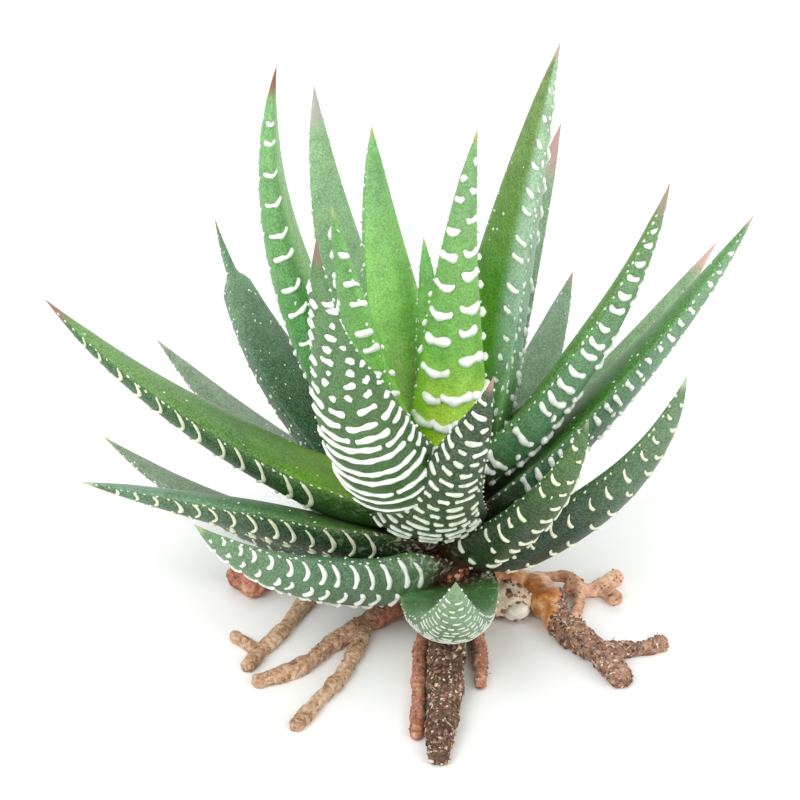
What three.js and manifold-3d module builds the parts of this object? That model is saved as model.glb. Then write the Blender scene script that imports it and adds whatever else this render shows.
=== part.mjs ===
// Bare-root haworthia: a rosette of white-banded leaves on a short stem that rests on its splayed roots.
// Millimetres, +Z up. The origin is the middle of the stem's flat lower end, on the ground, and -Y faces
// the front of the plant.
import * as THREE from 'three';
import { mergeVertices } from 'three/addons/utils/BufferGeometryUtils.js';
import Module from 'manifold-3d';

const wasm = await Module();
wasm.setup();

// Gap between neighbouring pieces, and the distance within which a shape's own vertices are one
const GAP = 0.3;
const MERGE_DISTANCE = 1e-4;

// Side of the block that cuts everything flat at the ground
const GROUND_BLOCK = 400;

// Stem
const STEM = { footRadius: 5.2, collarRadius: 7.2, collarHeight: 4.5, topRadius: 2.4, topHeight: 27.5 };
const STEM_SIDES = 12;
const STEM_RING_HEIGHTS = [0, 2.2, 4.5, 7, 10, 14, 19, 24, 27.5];
const STEM_TAPER_POWER = 0.8;
const STEM_LUMPS = { height: 0.7, round: 3, beat: 2, twist: 1.7 };

// Leaf form, shared by every leaf. Shares are of the leaf's own width or length.
const BACK_POINTS = 4;
const BACK_STEP = Math.PI / (BACK_POINTS + 1);
const LEAF_SIDES = BACK_POINTS + 3;
const LEAF_START_RADIUS = 1.5;
const BACK_DEPTH_SHARE = 0.44;
const FRONT_RISE_SHARE = 0.12;
const FRONT_RISE_START = 0.1;
const FRONT_RISE_END = 0.6;
const BASE_WIDTH_SHARE = 0.72;
const BASE_WIDTH_END = 0.2;
const BASE_DEPTH_SHARE = 0.4;
const BASE_DEPTH_END = 0.3;
const BASE_CUP_SHARE = 0.2;
const BASE_CUP_END = 0.35;
const TAPER_POWER = 1.8;
const ROLL_END = 0.25;
const SWEEP_POWER = 2;
const CURL_POWER = 1.5;
const CURL_CHORD_SHARE = 0.4;
const TIP_RADIUS = 0.35;
const SPINE_STEPS = 60;

// How much larger than the gap the room round a leaf is grown, because its sides are plainer than the leaf's
const ROOM_MARGIN = 0.2;

// White cross bars on the back of a leaf, raised larger than life so that the solid shows them
const BAND_PITCH = 8.6;
const BAND_FIRST = 0.12;
const BAND_LAST = 0.9;
const BAND_HEIGHT = 0.95;
const BAND_EDGE = 1.25;
const BAND_SAG_SHARE = 0.5;
const BAND_FULL_HALF_WIDTH = 3.5;
const TOOTH_HEIGHT = 0.35;

// Each leaf from the youngest to the oldest. azimuth is counted from +X against the clock, lean is how
// steeply the leaf stands, curl is how much more steeply its tip stands than its base, sweep turns the tip
// sideways, roll turns the leaf about its own length, foot is the height of its base on the stem, depthShare is
// for a leaf with a flatter back and taper for one that narrows sooner. Degrees and mm.
const LEAVES = [
  { azimuth: 109, lean: 75, curl: 0, length: 45, width: 8, foot: 25 },
  { azimuth: 196, lean: 72, curl: 12, length: 61.5, width: 15, foot: 24 },
  { azimuth: 276, lean: 83.5, curl: -7, sweep: 60, length: 72.5, width: 15.5, foot: 25, taper: 1.15 },
  { azimuth: 127, lean: 72, curl: 24, length: 67, width: 15, foot: 24 },
  { azimuth: 243, lean: 63, curl: 50, sweep: -65, length: 78, width: 20.5, foot: 19.5, roll: -26 },
  { azimuth: 54, lean: 68, curl: -12, length: 84, width: 17, foot: 21, roll: 14 },
  { azimuth: 161, lean: 70, curl: 50, length: 88, width: 17, foot: 21, roll: -8 },
  { azimuth: 122, lean: 57, curl: 48, length: 82, width: 15, foot: 20 },
  { azimuth: 0, lean: 58.5, curl: 26, length: 68, width: 16.5, foot: 26.5, roll: 20, depthShare: 0.38 },
  { azimuth: 261, lean: 57, curl: 34, sweep: 105, length: 53.5, width: 16.5, foot: 17, roll: -10,
    depthShare: 0.36 },
  { azimuth: 68.5, lean: 44, curl: -8, length: 81, width: 12, foot: 16 },
  { azimuth: 8, lean: 48, curl: 16, length: 77, width: 15, foot: 18, roll: 12 },
  { azimuth: 142, lean: 42.5, curl: 53, length: 73, width: 13.5, foot: 15.5, taper: 3 },
  { azimuth: 100, lean: 33, curl: 10, length: 60, width: 13, foot: 13 },
  { azimuth: 313, lean: 51.5, curl: 38, length: 52, width: 11.5, foot: 12.5, roll: 25 },
  { azimuth: 173, lean: 29.5, curl: 27, length: 80.5, width: 16, foot: 19, roll: -8 },
  { azimuth: 37, lean: 35, curl: 12, length: 75, width: 11, foot: 13 },
  { azimuth: 343, lean: 46, curl: 52, length: 60, width: 16, foot: 12.5, roll: 28 },
  { azimuth: 66, lean: 27, curl: 22, length: 68, width: 15, foot: 10.5 },
  { azimuth: 186, lean: 14.5, curl: -2, length: 65, width: 14.5, foot: 14, roll: -20 },
  { azimuth: 214, lean: 25.5, curl: 42, length: 56.5, width: 16, foot: 11, roll: -40 },
  { azimuth: 116, lean: 20, curl: 15, length: 64, width: 13, foot: 9 },
  { azimuth: 139, lean: 16, curl: 20, length: 75, width: 13.5, foot: 10 },
  { azimuth: 88, lean: 14, curl: 15, length: 60, width: 13, foot: 8 },
  { azimuth: 154, lean: 8, curl: 34, length: 72, width: 12, foot: 8.5 },
  { azimuth: 271, lean: 30, curl: 62, length: 48, width: 18, foot: 8.5, depthShare: 0.38 },
];

// Roots. Each path runs from inside the stem outwards as [x, y, radius, lift], where lift is the height of
// the root's underside over the ground. The branches after the first path grow out of it. Crust is the height
// of the soil crumbs and wrinkles on the root.
const ROOT_SIDES = 6;
const ROOT_STEP = 5.2;
const LEAST_ROOT_STEPS = 4;
const FLOOR_BITE = 0.15;
const CRUSTED_FROM = 0.3;

// The round end of a root, as shares of its radius: how far the last ring and the middle are pushed outwards,
// and the last ring's size
const END_RING_PUSH = 0.55;
const END_RING_SIZE = 0.6;
const END_MIDDLE_PUSH = 0.14;

// Wrinkles on a root: turns round it, steps along it and a slower beat that breaks them up
const WRINKLE = { round: 2.3, along: 1.9, beat: 1.3 };
const ROOTS = [
  {
    name: 'root_front',
    crust: 0.4,
    paths: [
      [[0, -4, 2.8, 1.4], [0, -10, 3.0, 0.4], [-0.2, -20, 3.0, 0], [-0.8, -32, 2.8, 0], [-1.5, -41, 2.4, 0],
        [-2, -47.5, 2.0, 0]],
    ],
  },
  {
    name: 'root_front_thin',
    crust: 0.1,
    paths: [
      [[-2.6, -5, 1.3, 1.3], [-4, -12, 1.3, 0.3], [-4.9, -17, 1.3, 0], [-5.2, -31, 1.3, 0], [-5.6, -41, 1.2, 0]],
    ],
  },
  {
    name: 'root_front_stub',
    crust: 0.15,
    paths: [[[4.2, -3, 1.5, 1.6], [5.2, -10, 1.4, 0.6], [5.7, -18, 1.3, 0], [5.6, -26, 1.15, 0]]],
  },
  {
    name: 'root_left_near',
    crust: 0.15,
    paths: [
      [[-3, -1, 2.4, 1.8], [-7.5, -2.5, 2.2, 1.4], [-11, -5, 2.0, 0.7], [-15.5, -8.2, 1.8, 0.1],
        [-20, -13, 1.6, 0], [-24.1, -19, 1.55, 0], [-28.5, -23, 1.55, 0], [-33, -25.2, 1.45, 0]],
      [[-14.3, -7.4, 1.4, 0.4], [-15.6, -12.9, 1.4, 0.1], [-18.4, -23, 1.35, 0], [-22.6, -31.5, 1.35, 0],
        [-26, -38.4, 1.3, 0]],
    ],
  },
  {
    name: 'root_left_far',
    crust: 0.15,
    paths: [
      [[-4, 1, 1.8, 2.4], [-12, 5.5, 1.7, 1.1], [-21, 5.2, 1.55, 0.1], [-25.6, 0, 1.4, 0], [-29.4, -9, 1.35, 0],
        [-32.7, -15.4, 1.35, 0], [-35, -20.4, 1.4, 0]],
      [[-34, -14.6, 1.1, 0.1], [-36.8, -11.8, 1.1, 0], [-38, -10.4, 1.15, 0]],
    ],
  },
  {
    name: 'root_back_left',
    crust: 0.3,
    paths: [
      [[-3, 4, 2.0, 2.2], [-13, 10.5, 1.9, 0.8], [-24, 11, 2.0, 0.2], [-31, 8.4, 2.4, 0], [-36.4, 5.8, 2.7, 0]],
    ],
  },
  {
    name: 'root_right',
    crust: 0.35,
    paths: [
      [[5, 1, 2.6, 1.8], [10.8, 2.5, 2.9, 1.2], [15.4, 2.6, 3.1, 0.6], [18.2, -1.8, 3.0, 0.2],
        [19.8, -7.4, 2.7, 0], [23.5, -13.4, 2.45, 0], [27.5, -19.2, 2.2, 0], [30.2, -25, 1.85, 0]],
      [[26, -17, 1.6, 0.3], [30.4, -15.6, 1.5, 0], [34.9, -14.8, 1.4, 0], [38.2, -13.2, 1.35, 0]],
    ],
  },
  {
    name: 'root_right_loop',
    crust: 0.1,
    paths: [
      [[14.5, 6.6, 1.15, 1.4], [18.7, 7, 1.15, 1.4], [22.2, 7, 1.15, 1.5], [24.3, 3.9, 1.15, 1.2],
        [24, -1.2, 1.1, 0.5], [22.8, -5, 1.0, 0.1]],
      [[22.6, 4.8, 1.5, 0.4], [26.4, 4, 1.5, 0.1], [29.3, 6.3, 1.5, 0], [31.8, 9.2, 1.45, 0]],
      [[28, 5, 1.4, 0.1], [30.2, 2.8, 1.4, 0], [31, 1.4, 1.35, 0]],
    ],
  },
  {
    name: 'root_back_a',
    crust: 0.15,
    paths: [[[1, 4, 1.9, 2], [4, 12, 1.7, 0.8], [9, 22, 1.55, 0], [12, 33, 1.35, 0]]],
  },
  {
    name: 'root_back_b',
    crust: 0.15,
    paths: [[[-1, 4, 1.8, 2], [-6, 13, 1.6, 0.8], [-11, 24, 1.45, 0], [-13, 36, 1.3, 0]]],
  },
];

// Soil caught between the stem and the right root, and the pale grain in it
const SOIL = { centre: [10.4, -1.4, 2.9], radii: [5.6, 4.6, 3.1], lump: 0.14 };
const GRAIN = { centre: [12.6, -5.2, 2.6], radii: [2.3, 1.7, 1.9], lump: 0.08 };
const LUMP_WAVES = { x: 5, y: 4, slantX: 2, slantY: 3 };

// Finishes
const paint = (color, roughness) => new THREE.MeshStandardMaterial({ color, roughness, metalness: 0 });
const YOUNG_LEAF = paint('#6fae3c', 0.5);
const OLD_LEAF = paint('#2f6a35', 0.55);
const STEM_BARK = paint('#6b3f26', 0.85);
const ROOT_BARK = paint('#a9825f', 0.8);
const CRUSTED_ROOT = paint('#6e5340', 0.9);
const POTTING_SOIL = paint('#4a3527', 0.95);
const PALE_GRAIN = paint('#d8cfb2', 0.8);
const YOUNG_LEAVES = 8;

const radians = THREE.MathUtils.degToRad;

/** Rises smoothly from 0 at low to 1 at high. */
function ease(low, high, value) {
  return THREE.MathUtils.smoothstep(value, low, high);
}

/** A geometry with only its positions left. */
function stripped(geometry) {
  geometry.deleteAttribute('normal');
  geometry.deleteAttribute('uv');
  return geometry;
}

/** A cylinder geometry whose rings are put in place by a function of side, ring and centre. */
function ringBody(sides, rings, place) {
  const cylinder = new THREE.CylinderGeometry(1, 1, 1, sides, rings - 1);
  const geometry = mergeVertices(stripped(cylinder), MERGE_DISTANCE);
  const position = geometry.getAttribute('position');
  for (let index = 0; index < position.count; index += 1) {
    const x = position.getX(index);
    const z = position.getZ(index);
    const ring = Math.round((position.getY(index) + 0.5) * (rings - 1));
    const isCentre = Math.hypot(x, z) < 0.5;
    const side = Math.round((Math.atan2(x, z) / (2 * Math.PI)) * sides + sides) % sides;
    const point = place(side, ring, isCentre);
    position.setXYZ(index, point.x, point.y, point.z);
  }
  return geometry;
}

/** The solid of a closed geometry. */
function toSolid(geometry) {
  const mesh = new wasm.Mesh({
    numProp: 3,
    vertProperties: new Float32Array(geometry.getAttribute('position').array),
    triVerts: new Uint32Array(geometry.index.array),
  });
  return new wasm.Manifold(mesh);
}

/** The geometry of a solid. */
function toGeometry(solid) {
  const mesh = solid.getMesh();
  const geometry = new THREE.BufferGeometry();
  geometry.setAttribute('position', new THREE.BufferAttribute(new Float32Array(mesh.vertProperties), 3));
  geometry.setIndex(new THREE.BufferAttribute(new Uint32Array(mesh.triVerts), 1));
  return geometry;
}

/** The largest single body of a solid, without loose scraps. */
function largestBody(solid) {
  const bodies = solid.decompose();
  return bodies.reduce((best, body) => (body.volume() > best.volume() ? body : best));
}

/** True where the boxes of two solids meet. */
function boxesMeet(one, other) {
  const a = one.boundingBox();
  const b = other.boundingBox();
  return [0, 1, 2].every((axis) => a.min[axis] < b.max[axis] && b.min[axis] < a.max[axis]);
}

/** A solid without the room that the given neighbours take up. */
function clearOf(solid, neighbours) {
  let result = solid;
  for (const neighbour of neighbours) {
    if (boxesMeet(result, neighbour)) {
      result = result.subtract(neighbour);
    }
  }
  return largestBody(result);
}

/** A solid cut flat at the ground. */
function cutAtFloor(solid) {
  const block = new THREE.BoxGeometry(GROUND_BLOCK, GROUND_BLOCK, GROUND_BLOCK);
  block.translate(0, 0, -GROUND_BLOCK / 2);
  return largestBody(solid.subtract(toSolid(mergeVertices(stripped(block)))));
}

/** The centre line of a leaf as a function of the share of its length. */
function leafSpine(leaf) {
  const azimuth = radians(leaf.azimuth);
  const start = new THREE.Vector3(
    LEAF_START_RADIUS * Math.cos(azimuth),
    LEAF_START_RADIUS * Math.sin(azimuth),
    leaf.foot,
  );
  const direction = (share) => {
    const rise = leaf.lean + leaf.curl * (share ** CURL_POWER - CURL_CHORD_SHARE);
    const turn = azimuth + radians((leaf.sweep ?? 0) * share ** SWEEP_POWER);
    const flat = Math.cos(radians(rise));
    return new THREE.Vector3(flat * Math.cos(turn), flat * Math.sin(turn), Math.sin(radians(rise)));
  };
  const points = [start];
  for (let step = 0; step < SPINE_STEPS; step += 1) {
    const middle = direction((step + 0.5) / SPINE_STEPS);
    points.push(points[step].clone().addScaledVector(middle, leaf.length / SPINE_STEPS));
  }
  const point = (share) => {
    const place = THREE.MathUtils.clamp(share, 0, 1) * SPINE_STEPS;
    const low = Math.min(Math.floor(place), SPINE_STEPS - 1);
    return points[low].clone().lerp(points[low + 1], place - low);
  };
  return { azimuth, direction, point };
}

/** The leaf's own axes at a share of its length: across it, along it and out of its inner face. */
function leafAxes(leaf, spine, share) {
  const along = spine.direction(share);
  const level = new THREE.Vector3(Math.sin(spine.azimuth), -Math.cos(spine.azimuth), 0);
  const across = level.addScaledVector(along, -level.dot(along)).normalize();
  const face = new THREE.Vector3().crossVectors(across, along);
  const turn = radians(leaf.roll ?? 0) * ease(0, ROLL_END, share);
  const side = across.clone().multiplyScalar(Math.cos(turn)).addScaledVector(face, Math.sin(turn));
  const out = face.multiplyScalar(Math.cos(turn)).addScaledVector(across, -Math.sin(turn));
  return { across: side, along, face: out };
}

/** How much of a leaf's full size is left at a share of its length. */
function tapered(leaf, share) {
  return 1 - share ** (leaf.taper ?? TAPER_POWER);
}

/** Half the width of a leaf at a share of its length. */
function halfWidth(leaf, share) {
  const swell = THREE.MathUtils.lerp(BASE_WIDTH_SHARE, 1, ease(0, BASE_WIDTH_END, share));
  return (leaf.width / 2) * tapered(leaf, share) * swell;
}

/** How far the rounded back stands off the margins at a share of the leaf's length. */
function backDepth(leaf, share) {
  const swell = THREE.MathUtils.lerp(BASE_DEPTH_SHARE, 1, ease(0, BASE_DEPTH_END, share));
  return (leaf.depthShare ?? BACK_DEPTH_SHARE) * leaf.width * tapered(leaf, share) * swell;
}

/** A point of a leaf's skin, for an angle round the section counted from the middle of the inner face. */
function leafPoint(leaf, spine, share, angle, raised, grown = 0, lift = 0) {
  const half = halfWidth(leaf, share) + TIP_RADIUS + grown;
  const bar = raised * Math.min(1, half / BAND_FULL_HALF_WIDTH);
  const backward = Math.max(0, -Math.cos(angle));
  const sag = (BAND_SAG_SHARE * halfWidth(leaf, share) * backward) / leaf.length;
  const place = Math.max(0, share - sag * ease(0, BAND_FIRST, share) * (1 - ease(BAND_LAST, 1, share)));
  const axes = leafAxes(leaf, spine, place);
  const sideways = Math.sin(angle) * (half + bar * (TOOTH_HEIGHT / BAND_HEIGHT));
  const back = backDepth(leaf, share) + TIP_RADIUS + bar + grown;
  const rise = 2 * FRONT_RISE_SHARE * half * ease(FRONT_RISE_START, FRONT_RISE_END, share);
  const front = rise + TIP_RADIUS + grown;
  const cup = BASE_CUP_SHARE * leaf.width * Math.sin(angle) ** 2 * (1 - ease(0, BASE_CUP_END, share));
  const outward = (Math.cos(angle) > 0 ? Math.cos(angle) * front : Math.cos(angle) * back) + cup + lift;
  return spine.point(place).addScaledVector(axes.across, sideways).addScaledVector(axes.face, outward);
}

/** The rings of a leaf from base to tip: where each lies and how far the cross bar there is raised. */
function leafRings(leaf) {
  const run = BAND_LAST - BAND_FIRST;
  const count = Math.round((run * leaf.length) / BAND_PITCH);
  const edge = BAND_EDGE / leaf.length;
  const rings = [{ share: 0, raised: 0 }, { share: BAND_FIRST / 2, raised: 0 }];
  for (let band = 0; band < count; band += 1) {
    const share = BAND_FIRST + (run * band) / (count - 1);
    rings.push({ share: share - edge, raised: 0 });
    rings.push({ share, raised: BAND_HEIGHT });
    rings.push({ share: share + edge, raised: 0 });
  }
  rings.push({ share: (1 + BAND_LAST) / 2, raised: 0 }, { share: 1, raised: 0 });
  return rings;
}

/** The angle of a section point: one on the inner face, one on each margin and the rest on the back. */
function sectionAngle(side) {
  return side === 0 ? 0 : Math.PI / 2 + (side - 1) * BACK_STEP;
}

/** A leaf with its raised cross bars. */
function leafSolid(leaf) {
  const spine = leafSpine(leaf);
  const rings = leafRings(leaf);
  const geometry = ringBody(LEAF_SIDES, rings.length, (side, ring, isCentre) => {
    const { share, raised } = rings[ring];
    return isCentre ? spine.point(share) : leafPoint(leaf, spine, share, sectionAngle(side), raised);
  });
  return toSolid(geometry);
}

/** The section points of a leaf's room: as the leaf's own, with a point above and one below each margin. */
function roomSection() {
  const points = [];
  for (let side = 0; side < LEAF_SIDES; side += 1) {
    const angle = sectionAngle(side);
    const isMargin = side === 1 || side === LEAF_SIDES - 1;
    const lifts = isMargin ? [1, -1] : [0];
    points.push(...(side === 1 ? lifts : lifts.reverse()).map((lift) => ({ angle, lift })));
  }
  return points;
}

/** The room a leaf takes up, with the gap all round it. */
function leafRoom(leaf) {
  const shares = leafRings(leaf).map(({ share }) => share);
  const rings = shares.length;
  const section = roomSection();
  const spine = leafSpine(leaf);
  const grown = GAP + ROOM_MARGIN;
  const geometry = ringBody(section.length, rings, (side, ring, isCentre) => {
    const share = shares[ring];
    const end = (ring === rings - 1 ? grown : 0) - (ring === 0 ? grown : 0);
    const { angle, lift } = section[side];
    const point = isCentre
      ? spine.point(share)
      : leafPoint(leaf, spine, share, angle, BAND_HEIGHT, grown, lift * grown);
    return point.addScaledVector(spine.direction(share), end);
  });
  return toSolid(geometry);
}

/** The stem's radius at a height. */
function stemRadius(height) {
  const { footRadius, collarRadius, collarHeight, topRadius, topHeight } = STEM;
  if (height < collarHeight) {
    return THREE.MathUtils.lerp(footRadius, collarRadius, Math.sin((height / collarHeight) * (Math.PI / 2)));
  }
  const share = (height - collarHeight) / (topHeight - collarHeight);
  return THREE.MathUtils.lerp(collarRadius, topRadius, share ** STEM_TAPER_POWER);
}

/** The stem, lumpy where soil and old leaf bases cling to it, or the room it takes up when grown. */
function stemSolid(grown) {
  const heights = STEM_RING_HEIGHTS;
  const geometry = ringBody(STEM_SIDES, heights.length, (side, ring, isCentre) => {
    const top = ring === heights.length - 1 ? grown : 0;
    const height = ring === 0 ? -grown : heights[ring] + top;
    if (isCentre) {
      return new THREE.Vector3(0, 0, height);
    }
    const angle = (side / STEM_SIDES) * 2 * Math.PI;
    const { height: lumpHeight, round, beat, twist } = STEM_LUMPS;
    const wave = Math.sin(round * angle + ring * twist) * Math.sin(beat * angle - ring);
    const lump = ring === 0 ? 0 : lumpHeight * wave;
    const radius = stemRadius(heights[ring]) + lump * (1 - ring / heights.length) + grown;
    return new THREE.Vector3(radius * Math.sin(angle), -radius * Math.cos(angle), height);
  });
  return toSolid(geometry);
}

/** The height of a root's middle where its underside is lift above the ground. */
function rootHeight(radius, lift) {
  return lift + radius * Math.cos(Math.PI / ROOT_SIDES) - FLOOR_BITE;
}

/** A tapering tube with round ends along a root's path, wrinkled by its crust. */
function rootTube(path, crust, grown) {
  const curve = new THREE.CatmullRomCurve3(
    path.map(([x, y, radius, lift]) => new THREE.Vector3(x, y, rootHeight(radius, lift))),
  );
  const radii = path.map(([, , radius]) => radius);
  const steps = Math.max(LEAST_ROOT_STEPS, Math.round(curve.getLength() / ROOT_STEP));
  const rings = steps + 3;
  const up = new THREE.Vector3(0, 0, 1);
  const geometry = ringBody(ROOT_SIDES, rings, (side, ring, isCentre) => {
    const share = THREE.MathUtils.clamp((ring - 1) / steps, 0, 1);
    const place = curve.getPoint(share);
    const along = curve.getTangent(share);
    const across = new THREE.Vector3().crossVectors(along, up).normalize();
    const upward = new THREE.Vector3().crossVectors(across, along);
    const stretch = share * (radii.length - 1);
    const low = Math.min(Math.floor(stretch), radii.length - 2);
    const radius = THREE.MathUtils.lerp(radii[low], radii[low + 1], stretch - low) + grown;
    const isEnd = ring === 0 || ring === rings - 1;
    const outward = isEnd ? radius * (ring === 0 ? -1 : 1) : 0;
    place.addScaledVector(along, END_RING_PUSH * outward);
    if (isCentre) {
      return place.addScaledVector(along, END_MIDDLE_PUSH * outward);
    }
    const angle = (side / ROOT_SIDES) * 2 * Math.PI;
    const wave = Math.sin(WRINKLE.round * side + WRINKLE.along * ring) * Math.cos(WRINKLE.beat * ring - side);
    const size = (radius + crust * wave) * (isEnd ? END_RING_SIZE : 1);
    place.addScaledVector(across, size * Math.sin(angle));
    return place.addScaledVector(upward, size * Math.cos(angle));
  });
  return toSolid(geometry);
}

/** A root joined with its branches. */
function rootSolid(root, grown) {
  return root.paths.map((path) => rootTube(path, root.crust, grown)).reduce((whole, tube) => whole.add(tube));
}

/** A lumpy grain or clump. */
function lumpSolid({ centre, radii, lump }, grown) {
  const geometry = mergeVertices(stripped(new THREE.IcosahedronGeometry(1, 1)), MERGE_DISTANCE);
  const position = geometry.getAttribute('position');
  for (let index = 0; index < position.count; index += 1) {
    const [x, y, z] = [position.getX(index), position.getY(index), position.getZ(index)];
    const ripple = Math.cos(LUMP_WAVES.y * y - LUMP_WAVES.slantY * z);
    const wave = Math.sin(LUMP_WAVES.x * x + LUMP_WAVES.slantX * z) * ripple;
    const size = 1 + lump * wave;
    position.setXYZ(
      index,
      centre[0] + x * size * (radii[0] + grown),
      centre[1] + y * size * (radii[1] + grown),
      centre[2] + z * size * (radii[2] + grown),
    );
  }
  return toSolid(geometry);
}

const plant = new THREE.Group();

/** Adds a named solid to the plant. */
function addPiece(name, solid, material) {
  const mesh = new THREE.Mesh(toGeometry(solid), material);
  mesh.name = name;
  plant.add(mesh);
}

addPiece('stem', cutAtFloor(stemSolid(0)), STEM_BARK);
const stemRoom = stemSolid(GAP);

// Leaves, each kept clear of the stem and of every younger leaf
const leafRooms = [];
LEAVES.forEach((leaf, index) => {
  const name = `leaf_${String(index + 1).padStart(2, '0')}`;
  const solid = clearOf(leafSolid(leaf), [stemRoom, ...leafRooms]);
  addPiece(name, solid, index < YOUNG_LEAVES ? YOUNG_LEAF : OLD_LEAF);
  leafRooms.push(leafRoom(leaf));
});

// Roots, each kept clear of the stem, the leaves and the roots before it
const rootRooms = [];
for (const root of ROOTS) {
  const solid = clearOf(cutAtFloor(rootSolid(root, 0)), [stemRoom, ...leafRooms, ...rootRooms]);
  addPiece(root.name, solid, root.crust > CRUSTED_FROM ? CRUSTED_ROOT : ROOT_BARK);
  rootRooms.push(rootSolid(root, GAP));
}

const grainRoom = lumpSolid(GRAIN, GAP);
addPiece('pale_grain', clearOf(cutAtFloor(lumpSolid(GRAIN, 0)), [stemRoom, ...rootRooms]), PALE_GRAIN);
const soilNeighbours = [stemRoom, grainRoom, ...leafRooms, ...rootRooms];
addPiece('soil_clump', clearOf(cutAtFloor(lumpSolid(SOIL, 0)), soilNeighbours), POTTING_SOIL);

export default plant;
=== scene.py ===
"""Bare-root haworthia: a rosette of banded leaves on splayed, soil-crusted roots.

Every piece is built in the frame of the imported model, in metres, +Z up. The sizes below are in
millimetres, as in the part's source, and each mesh is brought to metres once, when it is finished.
"""

import logging
import math
import random
from collections.abc import Callable, Iterable, Sequence
from dataclasses import dataclass
from enum import Enum
from functools import cache, partial
from typing import NamedTuple

import bmesh
import bpy
import numpy as np
from bmesh.types import BMesh, BMVert
from bpy.types import Material, Mesh, MeshVertex, NodeSocket, NodeTree, Object
from mathutils import Matrix, Vector, noise


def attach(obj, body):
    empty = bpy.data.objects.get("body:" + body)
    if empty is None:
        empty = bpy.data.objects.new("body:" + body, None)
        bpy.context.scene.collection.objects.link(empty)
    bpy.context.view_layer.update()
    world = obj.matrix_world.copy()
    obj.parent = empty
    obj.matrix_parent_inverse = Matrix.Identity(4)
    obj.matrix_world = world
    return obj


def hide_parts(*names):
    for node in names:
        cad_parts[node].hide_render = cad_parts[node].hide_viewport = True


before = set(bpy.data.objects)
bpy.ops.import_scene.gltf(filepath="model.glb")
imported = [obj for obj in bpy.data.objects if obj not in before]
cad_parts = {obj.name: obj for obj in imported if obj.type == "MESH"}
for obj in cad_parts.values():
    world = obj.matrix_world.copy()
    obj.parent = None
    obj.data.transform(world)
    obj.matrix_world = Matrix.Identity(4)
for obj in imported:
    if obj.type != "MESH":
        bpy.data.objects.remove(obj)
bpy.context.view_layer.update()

LOG = logging.getLogger("haworthia")
MM = 0.001
FULL_TURN = 2 * math.pi
HALF_TURN = math.pi
QUARTER_TURN = math.pi / 2

# Leaf form, as in the part's source. Shares are of the leaf's own width or length.
LEAF_START_RADIUS = 1.5
FRONT_RISE_SHARE = 0.12
FRONT_RISE_SPAN = (0.1, 0.6)
BASE_WIDTH_SHARE = 0.72
BASE_WIDTH_END = 0.2
BASE_DEPTH_SHARE = 0.4
BASE_DEPTH_END = 0.3
BASE_CUP_SHARE = 0.2
BASE_CUP_END = 0.35
TAPER_POWER = 1.8
ROLL_END = 0.25
SWEEP_POWER = 2
CURL_POWER = 1.5
CURL_CHORD_SHARE = 0.4
EDGE_RADIUS = 0.35
POINT_RADIUS = 0.06
POINT_SPAN = (0.86, 1)
SPINE_STEPS = 60
BAND_FIRST = 0.12
BAND_LAST = 0.9
BAND_SAG_SHARE = 0.5

# Where the flare and the slimness of a leaf's base fade out
FLARE_FADE = (0.22, 0.6)
SLIM_FADE = (0.16, 0.46)

# Distances that count as none, in millimetres or shares
MERGE = 1e-4
TINY = 1e-6

# Leaf meshes. The edge is half the width of the change from the bright face to the back, in quarter turns.
LEAF_RINGS = 72
LEAF_SIDES = 36
BRIGHT_EDGE = 0.16
NORMAL_STEP = 0.004
ROW_STEPS = 12

# Bars are balls drawn out along the skin, each with enough rings for its length
BAR_NUMBER = 1
BAR_SIDES = 6
BAR_RINGS = (6, 9, 16, 30)
RING_LENGTH = 0.4
CAP_START = 0.6
ARC_COLUMN = (-0.93, 0.93)
ARC_GAP = -0.5
SMALLEST_DASH = 0.3

# Roots rest on the floor with a sliver cut off, as in the part's source
ROOT_SIDES_IN_SOURCE = 6
FLOOR_BITE = 0.15

# Root meshes and the soil on them
VOXEL = 0.3
FLOOR_CLEARANCE = 0.02
CRUST_FADE = 5
HEAVY_CRUST = 500
CRUMBS_PER_SLIVER = 25

# Where the rows of random draws and the noise of each piece start
LEAF_SEED = 100
ROOT_SEED = 500
LUMP_SEED = 700
STEM_SEED = 900
STEM_NOISE = 3.7
ROOT_NOISE = 7.3
LUMP_NOISE = 2.9

Array = np.ndarray
Numbers = float | Array
Span = tuple[float, float]
Triple = tuple[float, float, float]
Quad = tuple[float, float, float, float]


def linear(code: str) -> Quad:
    """Turns an sRGB hex code such as "#8ec63c" into a linear colour with alpha 1."""
    parts = [int(code[i : i + 2], 16) / 255 for i in (1, 3, 5)]
    red, green, blue = (p / 12.92 if p <= 0.04045 else ((p + 0.055) / 1.055) ** 2.4 for p in parts)
    return red, green, blue, 1.0


def ease(low: float, high: float, value: Numbers) -> Numbers:
    """Rises smoothly from 0 at low to 1 at high."""
    t = np.clip((value - low) / (high - low), 0, 1)
    return t * t * (3 - 2 * t)


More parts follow.
